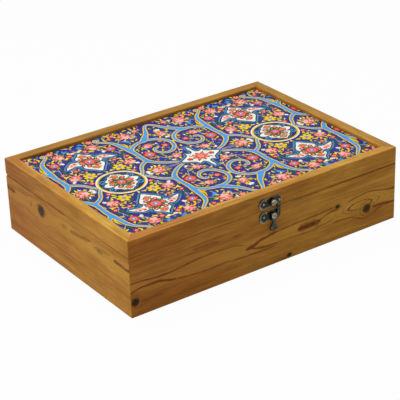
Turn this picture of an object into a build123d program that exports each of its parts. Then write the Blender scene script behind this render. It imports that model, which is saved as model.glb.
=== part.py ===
from build123d import *

import os
from math import radians, tan

# A wooden tea box, in millimetres. It stands on Z = 0 with its front facing -Y,
# and the origin is the centre of its underside.

# Case
case_length = 340.0
case_depth = 242.0
base_height = 65.7
lid_height = 18.6
seam_gap = 0.3
wall_thickness = 12.0
corner_radius = 1.2
outer_edge_radius = 0.8
seam_edge_radius = 0.4
recess_edge_radius = 1.5

# Bottom panel and dividers
bottom_thickness = 4.0
rebate_depth = 6.0
panel_fit = 0.2
columns = 4
rows = 3
divider_thickness = 4.0
divider_height = 57.0
dado_depth = 3.0
slot_fit = 0.1

# Lid panels
panel_recess = 3.8
decorated_thickness = 3.0
backing_thickness = 4.0
groove_depth = 4.0

# Hinges
hinge_length = 38.0
hinge_end_inset = 41.0
hinge_inset = 3.0
bevel_angle = 51.0
leaf_width = 8.0
leaf_thickness = 1.0
leaf_fit = 0.1
barrel_radius = 2.4
barrel_relief = 0.3
knuckle_gap = 0.3
pin_radius = 0.9
pin_fit = 0.05

# Hinge screws
screws_per_leaf = 3
screw_spacing = 13.0
screw_edge = 2.6
screw_length = 7.0
screw_radius = 0.9
screw_head_radius = 1.7
screw_fit = 0.05
screw_slot_width = 0.5
screw_slot_depth = 0.35

# Latch plates
latch_left = -14.4
latch_plate_length = 28.4
latch_plate_height = 11.8
latch_plate_rise = 0.8
strike_length = 25.0
strike_height = 12.5
strike_drop = 1.5
plate_thickness = 0.8
plate_waist = 1.0
rim_width = 1.3
rim_inset = 0.3
rim_height = 0.5
rim_opening = 3.0

# Latch rivet, stud and nails
pivot_x = 2.8
post_radius = 1.5
post_head_radius = 3.3
post_crown = 1.0
post_dimple = 0.6
post_tail = 8.0
shoulder_radius = 2.6
nail_radius = 0.6
nail_head_radius = 1.4
nail_crown = 0.6
nail_tail = 8.0
nail_fit = 0.05
nail_edge = 2.6

# Latch hook
hook_standoff = 2.0
hook_thickness = 1.2
hook_running = 0.3
pivot_fit = 0.05
eye_radius = 4.1
arm_width = 3.8
arm_reach = 6.6
arm_bend = 6.0
arm_overrun = 1.2
tab_neck_width = 3.6
tab_width = 10.0
tab_neck_drop = 2.6
tab_flare = 6.8
tab_crown = 1.8
hook_edge_radius = 0.3
hook_corner_radius = 0.8

# Overshoot of every cutting solid
margin = 1.0

# Places that follow from the sizes
lid_bottom = base_height + seam_gap
case_top = lid_bottom + lid_height
inner_length = case_length - 2 * wall_thickness
inner_depth = case_depth - 2 * wall_thickness
panel_top = case_top - panel_recess
backing_top = panel_top - decorated_thickness
backing_bottom = backing_top - backing_thickness
hinge_y = case_depth / 2 - hinge_inset
hinge_z = base_height + seam_gap / 2
hinge_x = case_length / 2 - hinge_end_inset - hinge_length / 2
hinge_places = [-hinge_x, hinge_x]
knuckle_length = (hinge_length - 2 * knuckle_gap) / 3
column_pitch = (inner_length + divider_thickness) / columns
row_pitch = (inner_depth + divider_thickness) / rows
cross_places = [(i - columns / 2) * column_pitch for i in range(1, columns)]
long_places = [(i - rows / 2) * row_pitch for i in range(1, rows)]
latch_plate_z = lid_bottom + latch_plate_rise + latch_plate_height / 2
strike_z = base_height - strike_drop - strike_height / 2
latch_right = latch_left + latch_plate_length
strike_right = latch_left + strike_length
front_face = Plane(origin=(0, -case_depth / 2, 0), x_dir=(1, 0, 0), z_dir=(0, -1, 0))
latch_nail_places = [
    (latch_left + latch_plate_height / 2, latch_plate_z),
    (latch_right - nail_edge, latch_plate_z),
]
strike_nail_places = [
    (latch_left + strike_height / 2, strike_z),
    (strike_right - nail_edge, strike_z),
]


def save(piece, name):
    """Label a finished piece and write it under the same name."""
    piece.part.label = name
    export_step(piece.part, f"parts/{name}.step")


def wall_ring(walls, bottom, height, bottom_radius, top_radius):
    """Add the four walls as one ring, with its outer edges eased."""
    with BuildSketch(Plane.XY.offset(bottom)) as plan:
        RectangleRounded(case_length, case_depth, corner_radius)
        Rectangle(inner_length, inner_depth, mode=Mode.SUBTRACT)
    extrude(plan.sketch, amount=height)
    fillet(walls.faces().sort_by(Axis.Z)[0].outer_wire().edges(), radius=bottom_radius)
    fillet(walls.faces().sort_by(Axis.Z)[-1].outer_wire().edges(), radius=top_radius)


def cut_panel_seat(bottom, height, reach):
    """Cut a rebate or a groove for a panel into the inner faces of the walls."""
    with BuildSketch(Plane.XY.offset(bottom)) as plan:
        Rectangle(inner_length + 2 * reach, inner_depth + 2 * reach)
    extrude(plan.sketch, amount=height, mode=Mode.SUBTRACT)


def cut_back_bevel(edge_z, direction):
    """Bevel the back edge at the seam, down (-1) or up (1), from the hinge line out."""
    run = hinge_inset + margin
    rise = direction * run * tan(radians(bevel_angle))
    with BuildSketch(Plane.YZ) as profile:
        with BuildLine():
            Polyline(
                (hinge_y, edge_z),
                (hinge_y + run, edge_z),
                (hinge_y + run, edge_z + rise),
                close=True,
            )
        make_face()
    extrude(profile.sketch, amount=case_length, both=True, mode=Mode.SUBTRACT)


def hinge_cylinder(x_from, x_to, radius, mode):
    """Add or cut a cylinder on the hinge line between two places along X."""
    with BuildSketch(Plane.YZ.offset(x_from)) as disc:
        with Locations((hinge_y, hinge_z)):
            Circle(radius)
    extrude(disc.sketch, amount=x_to - x_from, mode=mode)


def cut_hinge_seats(leaf_bottom):
    """Let both hinges into the wood: a pocket for the leaf and a trough for the barrel."""
    half = hinge_length / 2 + leaf_fit
    for x in hinge_places:
        with BuildSketch(Plane.XY.offset(leaf_bottom)) as pocket:
            with Locations((x, hinge_y - leaf_width / 2)):
                Rectangle(2 * half, leaf_width + 2 * leaf_fit)
        extrude(pocket.sketch, amount=leaf_thickness, mode=Mode.SUBTRACT)
        hinge_cylinder(x - half, x + half, barrel_radius + barrel_relief, Mode.SUBTRACT)


def screw_places(leaf_x):
    """Return the plan places of one leaf's screws."""
    middle = (screws_per_leaf - 1) / 2
    row_y = hinge_y - leaf_width + screw_edge
    return [(leaf_x + (i - middle) * screw_spacing, row_y) for i in range(screws_per_leaf)]


def screw_body(head_z, direction, fit, mode):
    """Add or cut all screws of one set of leaves, heads at head_z, pointing up (1) or down (-1)."""
    head = screw_head_radius + fit
    shank = screw_radius + fit
    for leaf_x in hinge_places:
        for x, y in screw_places(leaf_x):
            plane = Plane(origin=(x, y, head_z), x_dir=(1, 0, 0), z_dir=(0, -direction, 0))
            with BuildSketch(plane) as profile:
                with BuildLine():
                    Polyline(
                        (0, 0),
                        (head, 0),
                        (shank, head - shank),
                        (shank, screw_length - shank + fit),
                        (0, screw_length + fit),
                        close=True,
                    )
                make_face()
            revolve(profile.sketch, axis=Axis((x, y, head_z), (0, 0, 1)), mode=mode)


def cut_front_holes(places, radius, depth):
    """Drill holes into the front face."""
    with BuildSketch(front_face) as holes:
        with Locations(*places):
            Circle(radius)
    extrude(holes.sketch, amount=-depth, mode=Mode.SUBTRACT)


def board(walls, name, corners):
    """Saw one mitred board out of a ring of walls and write it."""
    with BuildPart() as piece:
        add(walls.part)
        with BuildSketch(Plane.XY):
            with BuildLine():
                Polyline(*corners, close=True)
            make_face()
        extrude(amount=case_top + margin, mode=Mode.INTERSECT)
    save(piece, name)


def mitred_boards(walls, names):
    """Saw a ring of walls into its front, back, left and right boards."""
    out_x = case_length / 2 + margin
    out_y = case_depth / 2 + margin
    reach = wall_thickness + 2 * margin
    in_x = out_x - reach
    in_y = out_y - reach
    front, back, left, right = names
    board(walls, front, [(-out_x, -out_y), (out_x, -out_y), (in_x, -in_y), (-in_x, -in_y)])
    board(walls, back, [(-out_x, out_y), (out_x, out_y), (in_x, in_y), (-in_x, in_y)])
    board(walls, left, [(-out_x, -out_y), (-out_x, out_y), (-in_x, in_y), (-in_x, -in_y)])
    board(walls, right, [(out_x, -out_y), (out_x, out_y), (in_x, in_y), (in_x, -in_y)])


def base_boards():
    """Make the four boards of the base."""
    with BuildPart() as walls:
        wall_ring(walls, 0, base_height, outer_edge_radius, seam_edge_radius)
        cut_panel_seat(0, bottom_thickness, rebate_depth)
        dado = divider_thickness + 2 * slot_fit
        with BuildSketch(Plane.XY.offset(bottom_thickness)) as dados:
            with Locations(*[(x, 0) for x in cross_places]):
                Rectangle(dado, inner_depth + 2 * dado_depth)
            with Locations(*[(0, y) for y in long_places]):
                Rectangle(inner_length + 2 * dado_depth, dado)
        extrude(dados.sketch, amount=divider_height, mode=Mode.SUBTRACT)
        cut_back_bevel(base_height, -1)
        cut_hinge_seats(base_height - leaf_thickness)
        screw_body(base_height, -1, screw_fit, Mode.SUBTRACT)
        cut_front_holes(strike_nail_places, nail_radius + nail_fit, nail_tail + nail_fit)
        cut_front_holes([(pivot_x, strike_z)], post_radius + nail_fit, post_tail + nail_fit)
    mitred_boards(walls, ["front_board", "back_board", "left_board", "right_board"])


def lid_rails():
    """Make the four rails of the lid."""
    with BuildPart() as walls:
        wall_ring(walls, lid_bottom, lid_height, seam_edge_radius, outer_edge_radius)
        inner_top = walls.faces().sort_by(Axis.Z)[-1].inner_wires()[0].edges()
        fillet(inner_top, radius=recess_edge_radius)
        cut_panel_seat(backing_bottom, backing_thickness, groove_depth)
        cut_back_bevel(lid_bottom, 1)
        cut_hinge_seats(lid_bottom)
        screw_body(lid_bottom, 1, screw_fit, Mode.SUBTRACT)
        cut_front_holes(latch_nail_places, nail_radius + nail_fit, nail_tail + nail_fit)
        cut_front_holes([(pivot_x, latch_plate_z)], post_radius + nail_fit, post_tail + nail_fit)
    mitred_boards(walls, ["lid_front_rail", "lid_back_rail", "lid_left_rail", "lid_right_rail"])


def panel(name, bottom, thickness, border):
    """Make a flat panel that reaches past the opening by a border on every side."""
    with BuildPart() as piece:
        with BuildSketch(Plane.XY.offset(bottom)):
            Rectangle(inner_length + 2 * border, inner_depth + 2 * border)
        extrude(amount=thickness)
    save(piece, name)


def panels():
    """Make the bottom panel, the lid's backing panel and the decorated panel on it."""
    panel("bottom_panel", 0, bottom_thickness, rebate_depth - panel_fit)
    panel("lid_backing_panel", backing_bottom, backing_thickness, groove_depth - panel_fit)
    panel("decorated_panel", backing_top, decorated_thickness, -panel_fit)


def divider(name, plane, length, crossings, slot_from):
    """Make one divider on an upright plane, with a half-lap slot at each crossing."""
    slot_height = divider_height / 2
    with BuildPart() as piece:
        with BuildSketch(plane):
            with Locations((0, bottom_thickness + divider_height / 2)):
                Rectangle(length, divider_height)
            with Locations(*[(place, slot_from + slot_height / 2) for place in crossings]):
                Rectangle(divider_thickness + 2 * slot_fit, slot_height, mode=Mode.SUBTRACT)
        extrude(amount=divider_thickness / 2, both=True)
    save(piece, name)


def dividers():
    """Make the grid: cross dividers slotted from below, long dividers from above."""
    end = 2 * (dado_depth - panel_fit)
    for i, x in enumerate(cross_places, start=1):
        plane = Plane.YZ.offset(x)
        divider(f"cross_divider_{i}", plane, inner_depth + end, long_places, bottom_thickness)
    slots_from = bottom_thickness + divider_height / 2
    for i, y in enumerate(long_places, start=1):
        plane = Plane.XZ.offset(-y)
        divider(f"long_divider_{i}", plane, inner_length + end, cross_places, slots_from)


def hinge_leaf(name, x, leaf_bottom, head_z, direction, barrels, reliefs):
    """Make one hinge leaf with its own knuckles, cleared round the other leaf's."""
    half = hinge_length / 2
    with BuildPart() as leaf:
        with BuildSketch(Plane.XY.offset(leaf_bottom)):
            with Locations((x, hinge_y - leaf_width / 2)):
                Rectangle(hinge_length, leaf_width)
        extrude(amount=leaf_thickness)
        for start, end in reliefs:
            hinge_cylinder(x + start, x + end, barrel_radius + barrel_relief, Mode.SUBTRACT)
        for start, end in barrels:
            hinge_cylinder(x + start, x + end, barrel_radius, Mode.ADD)
        hinge_cylinder(x - half, x + half, pin_radius + pin_fit, Mode.SUBTRACT)
        screw_body(head_z, direction, screw_fit, Mode.SUBTRACT)
    save(leaf, name)


def hinges():
    """Make both hinges: lower leaf, upper leaf and pin."""
    half = hinge_length / 2
    middle = knuckle_length / 2
    outer = middle + knuckle_gap
    lower_barrels = [(-half, -outer), (outer, half)]
    upper_barrels = [(-middle, middle)]
    lower_reliefs = [(-outer, outer)]
    upper_reliefs = [(-half - margin, -middle), (middle, half + margin)]
    lower_bottom = base_height - leaf_thickness
    for side, x in zip(["left", "right"], hinge_places):
        name = f"{side}_hinge_lower_leaf"
        hinge_leaf(name, x, lower_bottom, base_height, -1, lower_barrels, lower_reliefs)
        name = f"{side}_hinge_upper_leaf"
        hinge_leaf(name, x, lid_bottom, lid_bottom, 1, upper_barrels, upper_reliefs)
        with BuildPart() as pin:
            hinge_cylinder(x - half, x + half, pin_radius, Mode.ADD)
        save(pin, f"{side}_hinge_pin")


def hinge_screws(name, head_z, direction):
    """Make the slotted countersunk screws of both leaves on one side of the seam."""
    with BuildPart() as screws:
        screw_body(head_z, direction, 0, Mode.ADD)
        with BuildSketch(Plane.XY.offset(head_z)) as slots:
            for leaf_x in hinge_places:
                with Locations(*screw_places(leaf_x)):
                    Rectangle(2 * screw_head_radius + margin, screw_slot_width)
        extrude(slots.sketch, amount=direction * screw_slot_depth, mode=Mode.SUBTRACT)
    save(screws, name)


def lobed_plate(name, length, height, centre_z, nail_places):
    """Make one latch plate: two round lobes, a waist between them and a raised rim on the left."""
    lobe = height / 2
    lobe_x = latch_left + lobe
    other_x = latch_left + length - lobe
    with BuildPart() as plate:
        with BuildSketch(front_face):
            with Locations((lobe_x, centre_z), (other_x, centre_z)):
                Circle(lobe)
            with Locations(((lobe_x + other_x) / 2, centre_z)):
                Rectangle(other_x - lobe_x, height - 2 * plate_waist)
        extrude(amount=plate_thickness)
        with BuildSketch(front_face.offset(plate_thickness)):
            with Locations((lobe_x, centre_z)):
                Circle(lobe - rim_inset)
                Circle(lobe - rim_inset - rim_width, mode=Mode.SUBTRACT)
            with Locations((lobe_x + rim_opening + lobe, centre_z)):
                Rectangle(2 * lobe, height, mode=Mode.SUBTRACT)
        extrude(amount=rim_height)
        with BuildSketch(front_face.offset(plate_thickness)):
            with Locations(*nail_places):
                Circle(nail_radius + nail_fit)
            with Locations((pivot_x, centre_z)):
                Circle(post_radius + nail_fit)
        extrude(amount=-plate_thickness, mode=Mode.SUBTRACT)
    save(plate, name)


def turned_post(x, z, shoulder):
    """Add a post standing out of the front face, with a shoulder and a dished round head."""
    foot = (x, -case_depth / 2, z)
    neck = hook_standoff + hook_thickness + hook_running
    step = hook_standoff - hook_running
    crown_x = post_head_radius - post_crown
    with BuildSketch(Plane(origin=foot, x_dir=(1, 0, 0), z_dir=(0, 0, -1))) as profile:
        with BuildLine():
            Polyline(
                (0, -post_tail),
                (post_radius, -post_tail),
                (post_radius, plate_thickness),
                (shoulder, plate_thickness),
                (shoulder, step),
                (post_radius, step),
                (post_radius, neck),
                (post_head_radius, neck),
            )
            CenterArc((crown_x, neck), post_crown, 0, 90)
            Polyline(
                (crown_x, neck + post_crown),
                (0, neck + post_crown - post_dimple),
                (0, -post_tail),
            )
        make_face()
    revolve(profile.sketch, axis=Axis(foot, (0, -1, 0)))


def nails(name, places):
    """Make the dome-headed nails of one plate."""
    with BuildPart() as piece:
        for x, z in places:
            foot = (x, -case_depth / 2, z)
            crown_x = nail_head_radius - nail_crown
            with BuildSketch(Plane(origin=foot, x_dir=(1, 0, 0), z_dir=(0, 0, -1))) as profile:
                with BuildLine():
                    Polyline(
                        (0, plate_thickness + nail_crown),
                        (0, -nail_tail),
                        (nail_radius, nail_radius - nail_tail),
                        (nail_radius, plate_thickness),
                        (nail_head_radius, plate_thickness),
                    )
                    CenterArc((crown_x, plate_thickness), nail_crown, 0, 90)
                    Line((crown_x, plate_thickness + nail_crown), (0, plate_thickness + nail_crown))
                make_face()
            revolve(profile.sketch, axis=Axis(foot, (0, -1, 0)))
    save(piece, name)


def latch_hook():
    """Make the hook: an eye, an arm that curls under the stud, and a flared finger tab."""
    grip_z = strike_z - post_radius - hook_running - arm_width / 2
    arm_x = pivot_x + arm_reach
    neck_top = grip_z - arm_width / 2 + hook_edge_radius
    neck_bottom = grip_z - arm_width / 2 - tab_neck_drop
    flare_bottom = neck_bottom - tab_flare
    half_neck = tab_neck_width / 2
    half_tab = tab_width / 2
    with BuildPart() as hook:
        with BuildSketch(front_face.offset(hook_standoff)) as outline:
            with BuildLine(mode=Mode.PRIVATE) as path:
                FilletPolyline(
                    (pivot_x, latch_plate_z),
                    (arm_x, latch_plate_z),
                    (arm_x, grip_z),
                    (pivot_x - arm_overrun, grip_z),
                    radius=arm_bend,
                )
            SlotArc(path.wire(), height=arm_width)
            with Locations((pivot_x, latch_plate_z)):
                Circle(eye_radius)
            with BuildLine():
                Polyline(
                    (pivot_x - half_neck, neck_bottom),
                    (pivot_x - half_neck, neck_top),
                    (pivot_x + half_neck, neck_top),
                    (pivot_x + half_neck, neck_bottom),
                )
                right = Bezier(
                    (pivot_x + half_neck, neck_bottom),
                    (pivot_x + half_neck, neck_bottom - tab_flare / 2),
                    (pivot_x + half_tab, flare_bottom + tab_flare / 2),
                    (pivot_x + half_tab, flare_bottom),
                )
                ThreePointArc(
                    right @ 1,
                    (pivot_x, flare_bottom - tab_crown),
                    (pivot_x - half_tab, flare_bottom),
                )
                Bezier(
                    (pivot_x - half_tab, flare_bottom),
                    (pivot_x - half_tab, flare_bottom + tab_flare / 2),
                    (pivot_x - half_neck, neck_bottom - tab_flare / 2),
                    (pivot_x - half_neck, neck_bottom),
                )
            make_face()
            corners = outline.vertices()
            low_corners = corners.filter_by_position(Axis.Y, neck_bottom, grip_z, (False, False))
            eye_corners = corners.filter_by_position(
                Axis.Y, latch_plate_z - eye_radius, latch_plate_z + eye_radius
            )
            fillet(low_corners + eye_corners, radius=hook_corner_radius)
            with Locations((pivot_x, latch_plate_z)):
                Circle(post_radius + pivot_fit, mode=Mode.SUBTRACT)
        extrude(amount=hook_thickness)
        front_edges = hook.faces().sort_by(Axis.Y)[0].outer_wire().edges()
        fillet(front_edges, radius=hook_edge_radius)
    save(hook, "latch_hook")


def latch():
    """Make the latch: both plates with their nails, the rivet, the stud and the hook."""
    lobed_plate("latch_plate", latch_plate_length, latch_plate_height, latch_plate_z, latch_nail_places)
    lobed_plate("strike_plate", strike_length, strike_height, strike_z, strike_nail_places)
    nails("latch_nails", latch_nail_places)
    nails("strike_nails", strike_nail_places)
    with BuildPart() as rivet:
        turned_post(pivot_x, latch_plate_z, shoulder_radius)
    save(rivet, "latch_rivet")
    with BuildPart() as stud:
        turned_post(pivot_x, strike_z, post_radius + nail_fit)
    save(stud, "strike_stud")
    latch_hook()


os.makedirs("parts", exist_ok=True)
base_boards()
lid_rails()
panels()
dividers()
hinges()
hinge_screws("hinge_lower_screws", base_height, -1)
hinge_screws("hinge_upper_screws", lid_bottom, 1)
latch()
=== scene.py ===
"""Looks of a flat wooden tea box with a painted scroll-and-flower panel in its lid.

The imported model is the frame. Boards, hinges and latch keep their own meshes and get worked-out
finishes; the painted panel gets thin films of paint, one mesh for each colour. Lengths in the
pattern and in the board finishes are in millimetres, and everything in the scene is in metres.
"""

import logging
import math
from collections.abc import Callable, Iterable, Sequence
from dataclasses import dataclass, field
from enum import Enum

import bmesh
import bpy
from mathutils import Matrix, Vector


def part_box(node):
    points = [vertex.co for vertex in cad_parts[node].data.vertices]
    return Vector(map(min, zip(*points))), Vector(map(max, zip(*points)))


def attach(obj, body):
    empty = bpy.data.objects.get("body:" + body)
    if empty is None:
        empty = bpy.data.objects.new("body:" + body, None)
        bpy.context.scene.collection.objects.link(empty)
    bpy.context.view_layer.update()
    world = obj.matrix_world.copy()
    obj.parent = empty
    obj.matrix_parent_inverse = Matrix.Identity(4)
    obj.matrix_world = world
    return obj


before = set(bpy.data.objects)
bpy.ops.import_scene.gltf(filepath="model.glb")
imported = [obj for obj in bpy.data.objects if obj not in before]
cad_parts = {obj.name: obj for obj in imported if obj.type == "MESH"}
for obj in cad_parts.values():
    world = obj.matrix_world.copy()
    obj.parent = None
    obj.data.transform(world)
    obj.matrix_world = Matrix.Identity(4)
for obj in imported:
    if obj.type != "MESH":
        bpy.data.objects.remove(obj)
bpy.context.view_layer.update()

MM = 0.001
# An outline moved by less than FOLD_LIMIT millimetres keeps every point. Moved further, it keeps
# those that stay at least FOLD_SHARE of the move away from the outline.
FOLD_LIMIT = 1.0
FOLD_SHARE = 0.93
# Where the colour version of the Mix node has its sockets.
MIX_FACTOR, MIX_FIRST, MIX_SECOND, MIX_RESULT = 0, 6, 7, 2
LOG = logging.getLogger("tea_box")

Point = tuple[float, float]
Loop = list[Point]
Colour = tuple[float, float, float]
Direction = tuple[float, float, float]
Socket = bpy.types.NodeSocket
Sockets = dict[str, Socket]


def from_screen(red: int, green: int, blue: int) -> Colour:
    """Turn a screen colour into the linear colour that shaders use.

    Args:
        red: Red from 0 to 255.
        green: Green from 0 to 255.
        blue: Blue from 0 to 255.

    Returns:
        The linear colour.
    """

    def linear(value: int) -> float:
        """Return one channel, made linear."""
        share = value / 255
        return share / 12.92 if share <= 0.04045 else ((share + 0.055) / 1.055) ** 2.4

    return linear(red), linear(green), linear(blue)


class Graph:
    """Short calls that build one node tree."""

    def __init__(self, tree: bpy.types.NodeTree) -> None:
        """Keep the tree that the calls build."""
        self.tree = tree

    def add(self, kind: str, **settings: object) -> bpy.types.Node:
        """Add a node and set its properties.

        Args:
            kind: The node's type name, without the ShaderNode in front.
            **settings: Properties of the node.

        Returns:
            The new node.
        """
        node = self.tree.nodes.new(kind if kind.startswith("NodeGroup") else "ShaderNode" + kind)
        for name, value in settings.items():
            setattr(node, name, value)
        return node

    def feed(self, socket: Socket, value: object) -> None:
        """Link an output to a socket, or set the socket to a plain value.

        Args:
            socket: The input to feed.
            value: An output socket, a number, a vector or a linear colour.
        """
        if isinstance(value, Socket):
            self.tree.links.new(value, socket)
        elif socket.type == "RGBA":
            socket.default_value = (*value, 1.0)
        else:
            socket.default_value = value

    def feed_all(self, node: bpy.types.Node, values: Iterable[object]) -> bpy.types.Node:
        """Feed a node's inputs in order.

        Args:
            node: The node.
            values: What goes into its first inputs.

        Returns:
            The node.
        """
        for socket, value in zip(node.inputs, values):
            self.feed(socket, value)
        return node

    def math(self, operation: str, *values: object, clamp: bool = False) -> Socket:
        """Add a math node and return its result."""
        node = self.add("Math", operation=operation, use_clamp=clamp)
        return self.feed_all(node, values).outputs[0]

    def minus(self, first: object, second: object) -> Socket:
        """Return the first value less the second."""
        return self.math("SUBTRACT", first, second)

    def times(self, first: object, second: object) -> Socket:
        """Return the product of two values."""
        return self.math("MULTIPLY", first, second)

    def scaled(self, value: object, factor: object, start: object) -> Socket:
        """Return the value times the factor, plus the start."""
        return self.math("MULTIPLY_ADD", value, factor, start)

    def vector(self, operation: str, *values: object) -> bpy.types.Node:
        """Add a vector math node and return the node."""
        return self.feed_all(self.add("VectorMath", operation=operation), values)

    def dot(self, first: object, second: object) -> Socket:
        """Return the dot product of two vectors."""
        return self.vector("DOT_PRODUCT", first, second).outputs["Value"]

    def combine(self, x: object, y: object, z: object) -> Socket:
        """Join three values into a vector."""
        return self.feed_all(self.add("CombineXYZ"), (x, y, z)).outputs[0]

    def smooth(self, value: object, low: object, high: object) -> Socket:
        """Return 0 below low and 1 above high, with a smooth step between them."""
        node = self.add("MapRange", interpolation_type="SMOOTHSTEP")
        return self.feed_all(node, (value, low, high, 0.0, 1.0)).outputs[0]

    def mix(self, factor: object, first: object, second: object, blend: str = "MIX") -> Socket:
        """Mix two colours.

        Args:
            factor: How much of the second colour there is.
            first: The first colour.
            second: The second colour.
            blend: How they are mixed.

        Returns:
            The mixed colour.
        """
        node = self.add("Mix", data_type="RGBA", blend_type=blend)
        self.feed(node.inputs[MIX_FACTOR], factor)
        self.feed(node.inputs[MIX_FIRST], first)
        self.feed(node.inputs[MIX_SECOND], second)
        return node.outputs[MIX_RESULT]

    def noise(self, place: object, scale: float, detail: float = 2.0) -> Socket:
        """Return noise between 0 and 1.

        Args:
            place: Where it is read.
            scale: How fine it is.
            detail: How many finer layers it has.

        Returns:
            The noise.
        """
        node = self.add("TexNoise")
        self.feed(node.inputs["Vector"], place)
        self.feed(node.inputs["Scale"], scale)
        self.feed(node.inputs["Detail"], detail)
        return node.outputs["Fac"]

    def object_place(self) -> Socket:
        """Return the place on the object in millimetres."""
        return self.enlarged(self.add("TexCoord").outputs["Object"], 1 / MM)

    def enlarged(self, place: Socket, scale: object) -> Socket:
        """Multiply a place by a scale.

        Args:
            place: The place.
            scale: The scale.

        Returns:
            The product.
        """
        node = self.vector("SCALE", place)
        self.feed(node.inputs["Scale"], scale)
        return node.outputs[0]


class Effect:
    """A shader node group that several materials share. It is built the first time it is placed."""

    title: str = ""
    takes: dict[str, tuple[str, object]] = {}
    gives: dict[str, str] = {}
    _built: dict[str, bpy.types.NodeTree] = {}

    @classmethod
    def build(cls, graph: Graph, given: Sockets) -> Sockets:
        """Build the inside of the group.

        Args:
            graph: The group's graph.
            given: Its inputs by name.

        Returns:
            Its outputs by name.
        """
        raise NotImplementedError

    @classmethod
    def tree(cls) -> bpy.types.NodeTree:
        """Build the group's tree, or find it where it is built already.

        Returns:
            The tree.
        """
        if cls.title not in cls._built:
            tree = bpy.data.node_groups.new(cls.title, "ShaderNodeTree")
            for name, (kind, default) in cls.takes.items():
                socket = tree.interface.new_socket(
                    name, in_out="INPUT", socket_type="NodeSocket" + kind
                )
                socket.default_value = (*default, 1.0) if kind == "Color" else default
            for name, kind in cls.gives.items():
                tree.interface.new_socket(name, in_out="OUTPUT", socket_type="NodeSocket" + kind)
            graph = Graph(tree)
            entry = graph.add("NodeGroupInput")
            given = {name: entry.outputs[name] for name in cls.takes}
            leave = graph.add("NodeGroupOutput")
            for name, value in cls.build(graph, given).items():
                graph.feed(leave.inputs[name], value)
            cls._built[cls.title] = tree
        return cls._built[cls.title]

    @classmethod
    def place(cls, graph: Graph, **values: object) -> Sockets:
        """Place the group in a material.

        Args:
            graph: The material's graph.
            **values: Inputs by name, with spaces written as underscores.

        Returns:
            The group's outputs by name.
        """
        node = graph.add("Group", node_tree=cls.tree())
        for name, value in values.items():
            graph.feed(node.inputs[name.replace("_", " ")], value)
        return {name: node.outputs[name] for name in cls.gives}


class BoardSpace(Effect):
    """Measures a board along its grain, up its face and into its thickness, and finds the mitre."""

    title = "board_space"
    takes = {
        "Grain": ("Vector", (1.0, 0.0, 0.0)),
        "Outward": ("Vector", (0.0, -1.0, 0.0)),
        "Half Length": ("Float", 170.0),
        "Reach": ("Float", 121.0),
    }
    gives = {"Along": "Float", "Height": "Float", "Depth": "Float", "Joint": "Float"}
    joint_edge = (0.12, 0.7)

    @classmethod
    def build(cls, graph: Graph, given: Sockets) -> Sockets:
        """Build the inside of the group.

        Args:
            graph: The group's graph.
            given: Its inputs by name.

        Returns:
            Its outputs by name.
        """
        place = graph.object_place()
        along = graph.dot(place, given["Grain"])
        depth = graph.minus(given["Reach"], graph.dot(place, given["Outward"]))
        from_end = graph.minus(given["Half Length"], graph.math("ABSOLUTE", along))
        off_mitre = graph.math("ABSOLUTE", graph.minus(from_end, depth))
        joint = graph.minus(1.0, graph.smooth(off_mitre, *cls.joint_edge))
        height = graph.feed_all(graph.add("SeparateXYZ"), (place,)).outputs["Z"]
        return {"Along": along, "Height": height, "Depth": depth, "Joint": joint}


class Knot(Effect):
    """A knot: its dark core, the rings round it, and how far it pushes the grain aside.

    Distances are shares of the knot's radius.
    """

    title = "knot"
    takes = {
        "Along": ("Float", 0.0),
        "Height": ("Float", 0.0),
        "Place": ("Vector", (0.0, 0.0, 0.0)),
        "Radius": ("Float", 5.0),
        "Stretch": ("Float", 1.0),
    }
    gives = {"Core": "Float", "Ring": "Float", "Push": "Float"}
    ragged_scale = 0.30
    raggedness = 0.7
    core_edge = (0.45, 1.15)
    first_ring = 1.35
    ring_pitch = 8.4
    ring_fade = -1.3
    ring_edge = (0.35, 0.95)
    rings_begin = (0.9, 1.15)
    push_fade = -0.22
    push_share = -0.72

    @classmethod
    def build(cls, graph: Graph, given: Sockets) -> Sockets:
        """Build the inside of the group.

        Args:
            graph: The group's graph.
            given: Its inputs by name.

        Returns:
            Its outputs by name.
        """
        place = graph.feed_all(graph.add("SeparateXYZ"), (given["Place"],))
        dx = graph.minus(given["Along"], place.outputs["X"])
        dx = graph.math("DIVIDE", dx, given["Stretch"])
        dy = graph.minus(given["Height"], place.outputs["Y"])
        off = graph.combine(dx, dy, 0.0)
        share = graph.math("DIVIDE", graph.vector("LENGTH", off).outputs["Value"], given["Radius"])
        ragged = graph.minus(graph.noise(off, cls.ragged_scale), 0.5)
        share = graph.scaled(ragged, cls.raggedness, share)
        core = graph.minus(1.0, graph.smooth(share, *cls.core_edge))
        beyond = graph.minus(share, cls.first_ring)
        wave = graph.math("COSINE", graph.times(beyond, cls.ring_pitch))
        fade = graph.math("EXPONENT", graph.times(beyond, cls.ring_fade))
        ring = graph.times(graph.smooth(wave, *cls.ring_edge), graph.math("MINIMUM", fade, 1.0))
        ring = graph.times(ring, graph.smooth(share, *cls.rings_begin))
        fall = graph.math("EXPONENT", graph.times(graph.times(share, share), cls.push_fade))
        push = graph.times(graph.times(dy, fall), cls.push_share)
        return {"Core": core, "Ring": ring, "Push": push}


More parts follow.
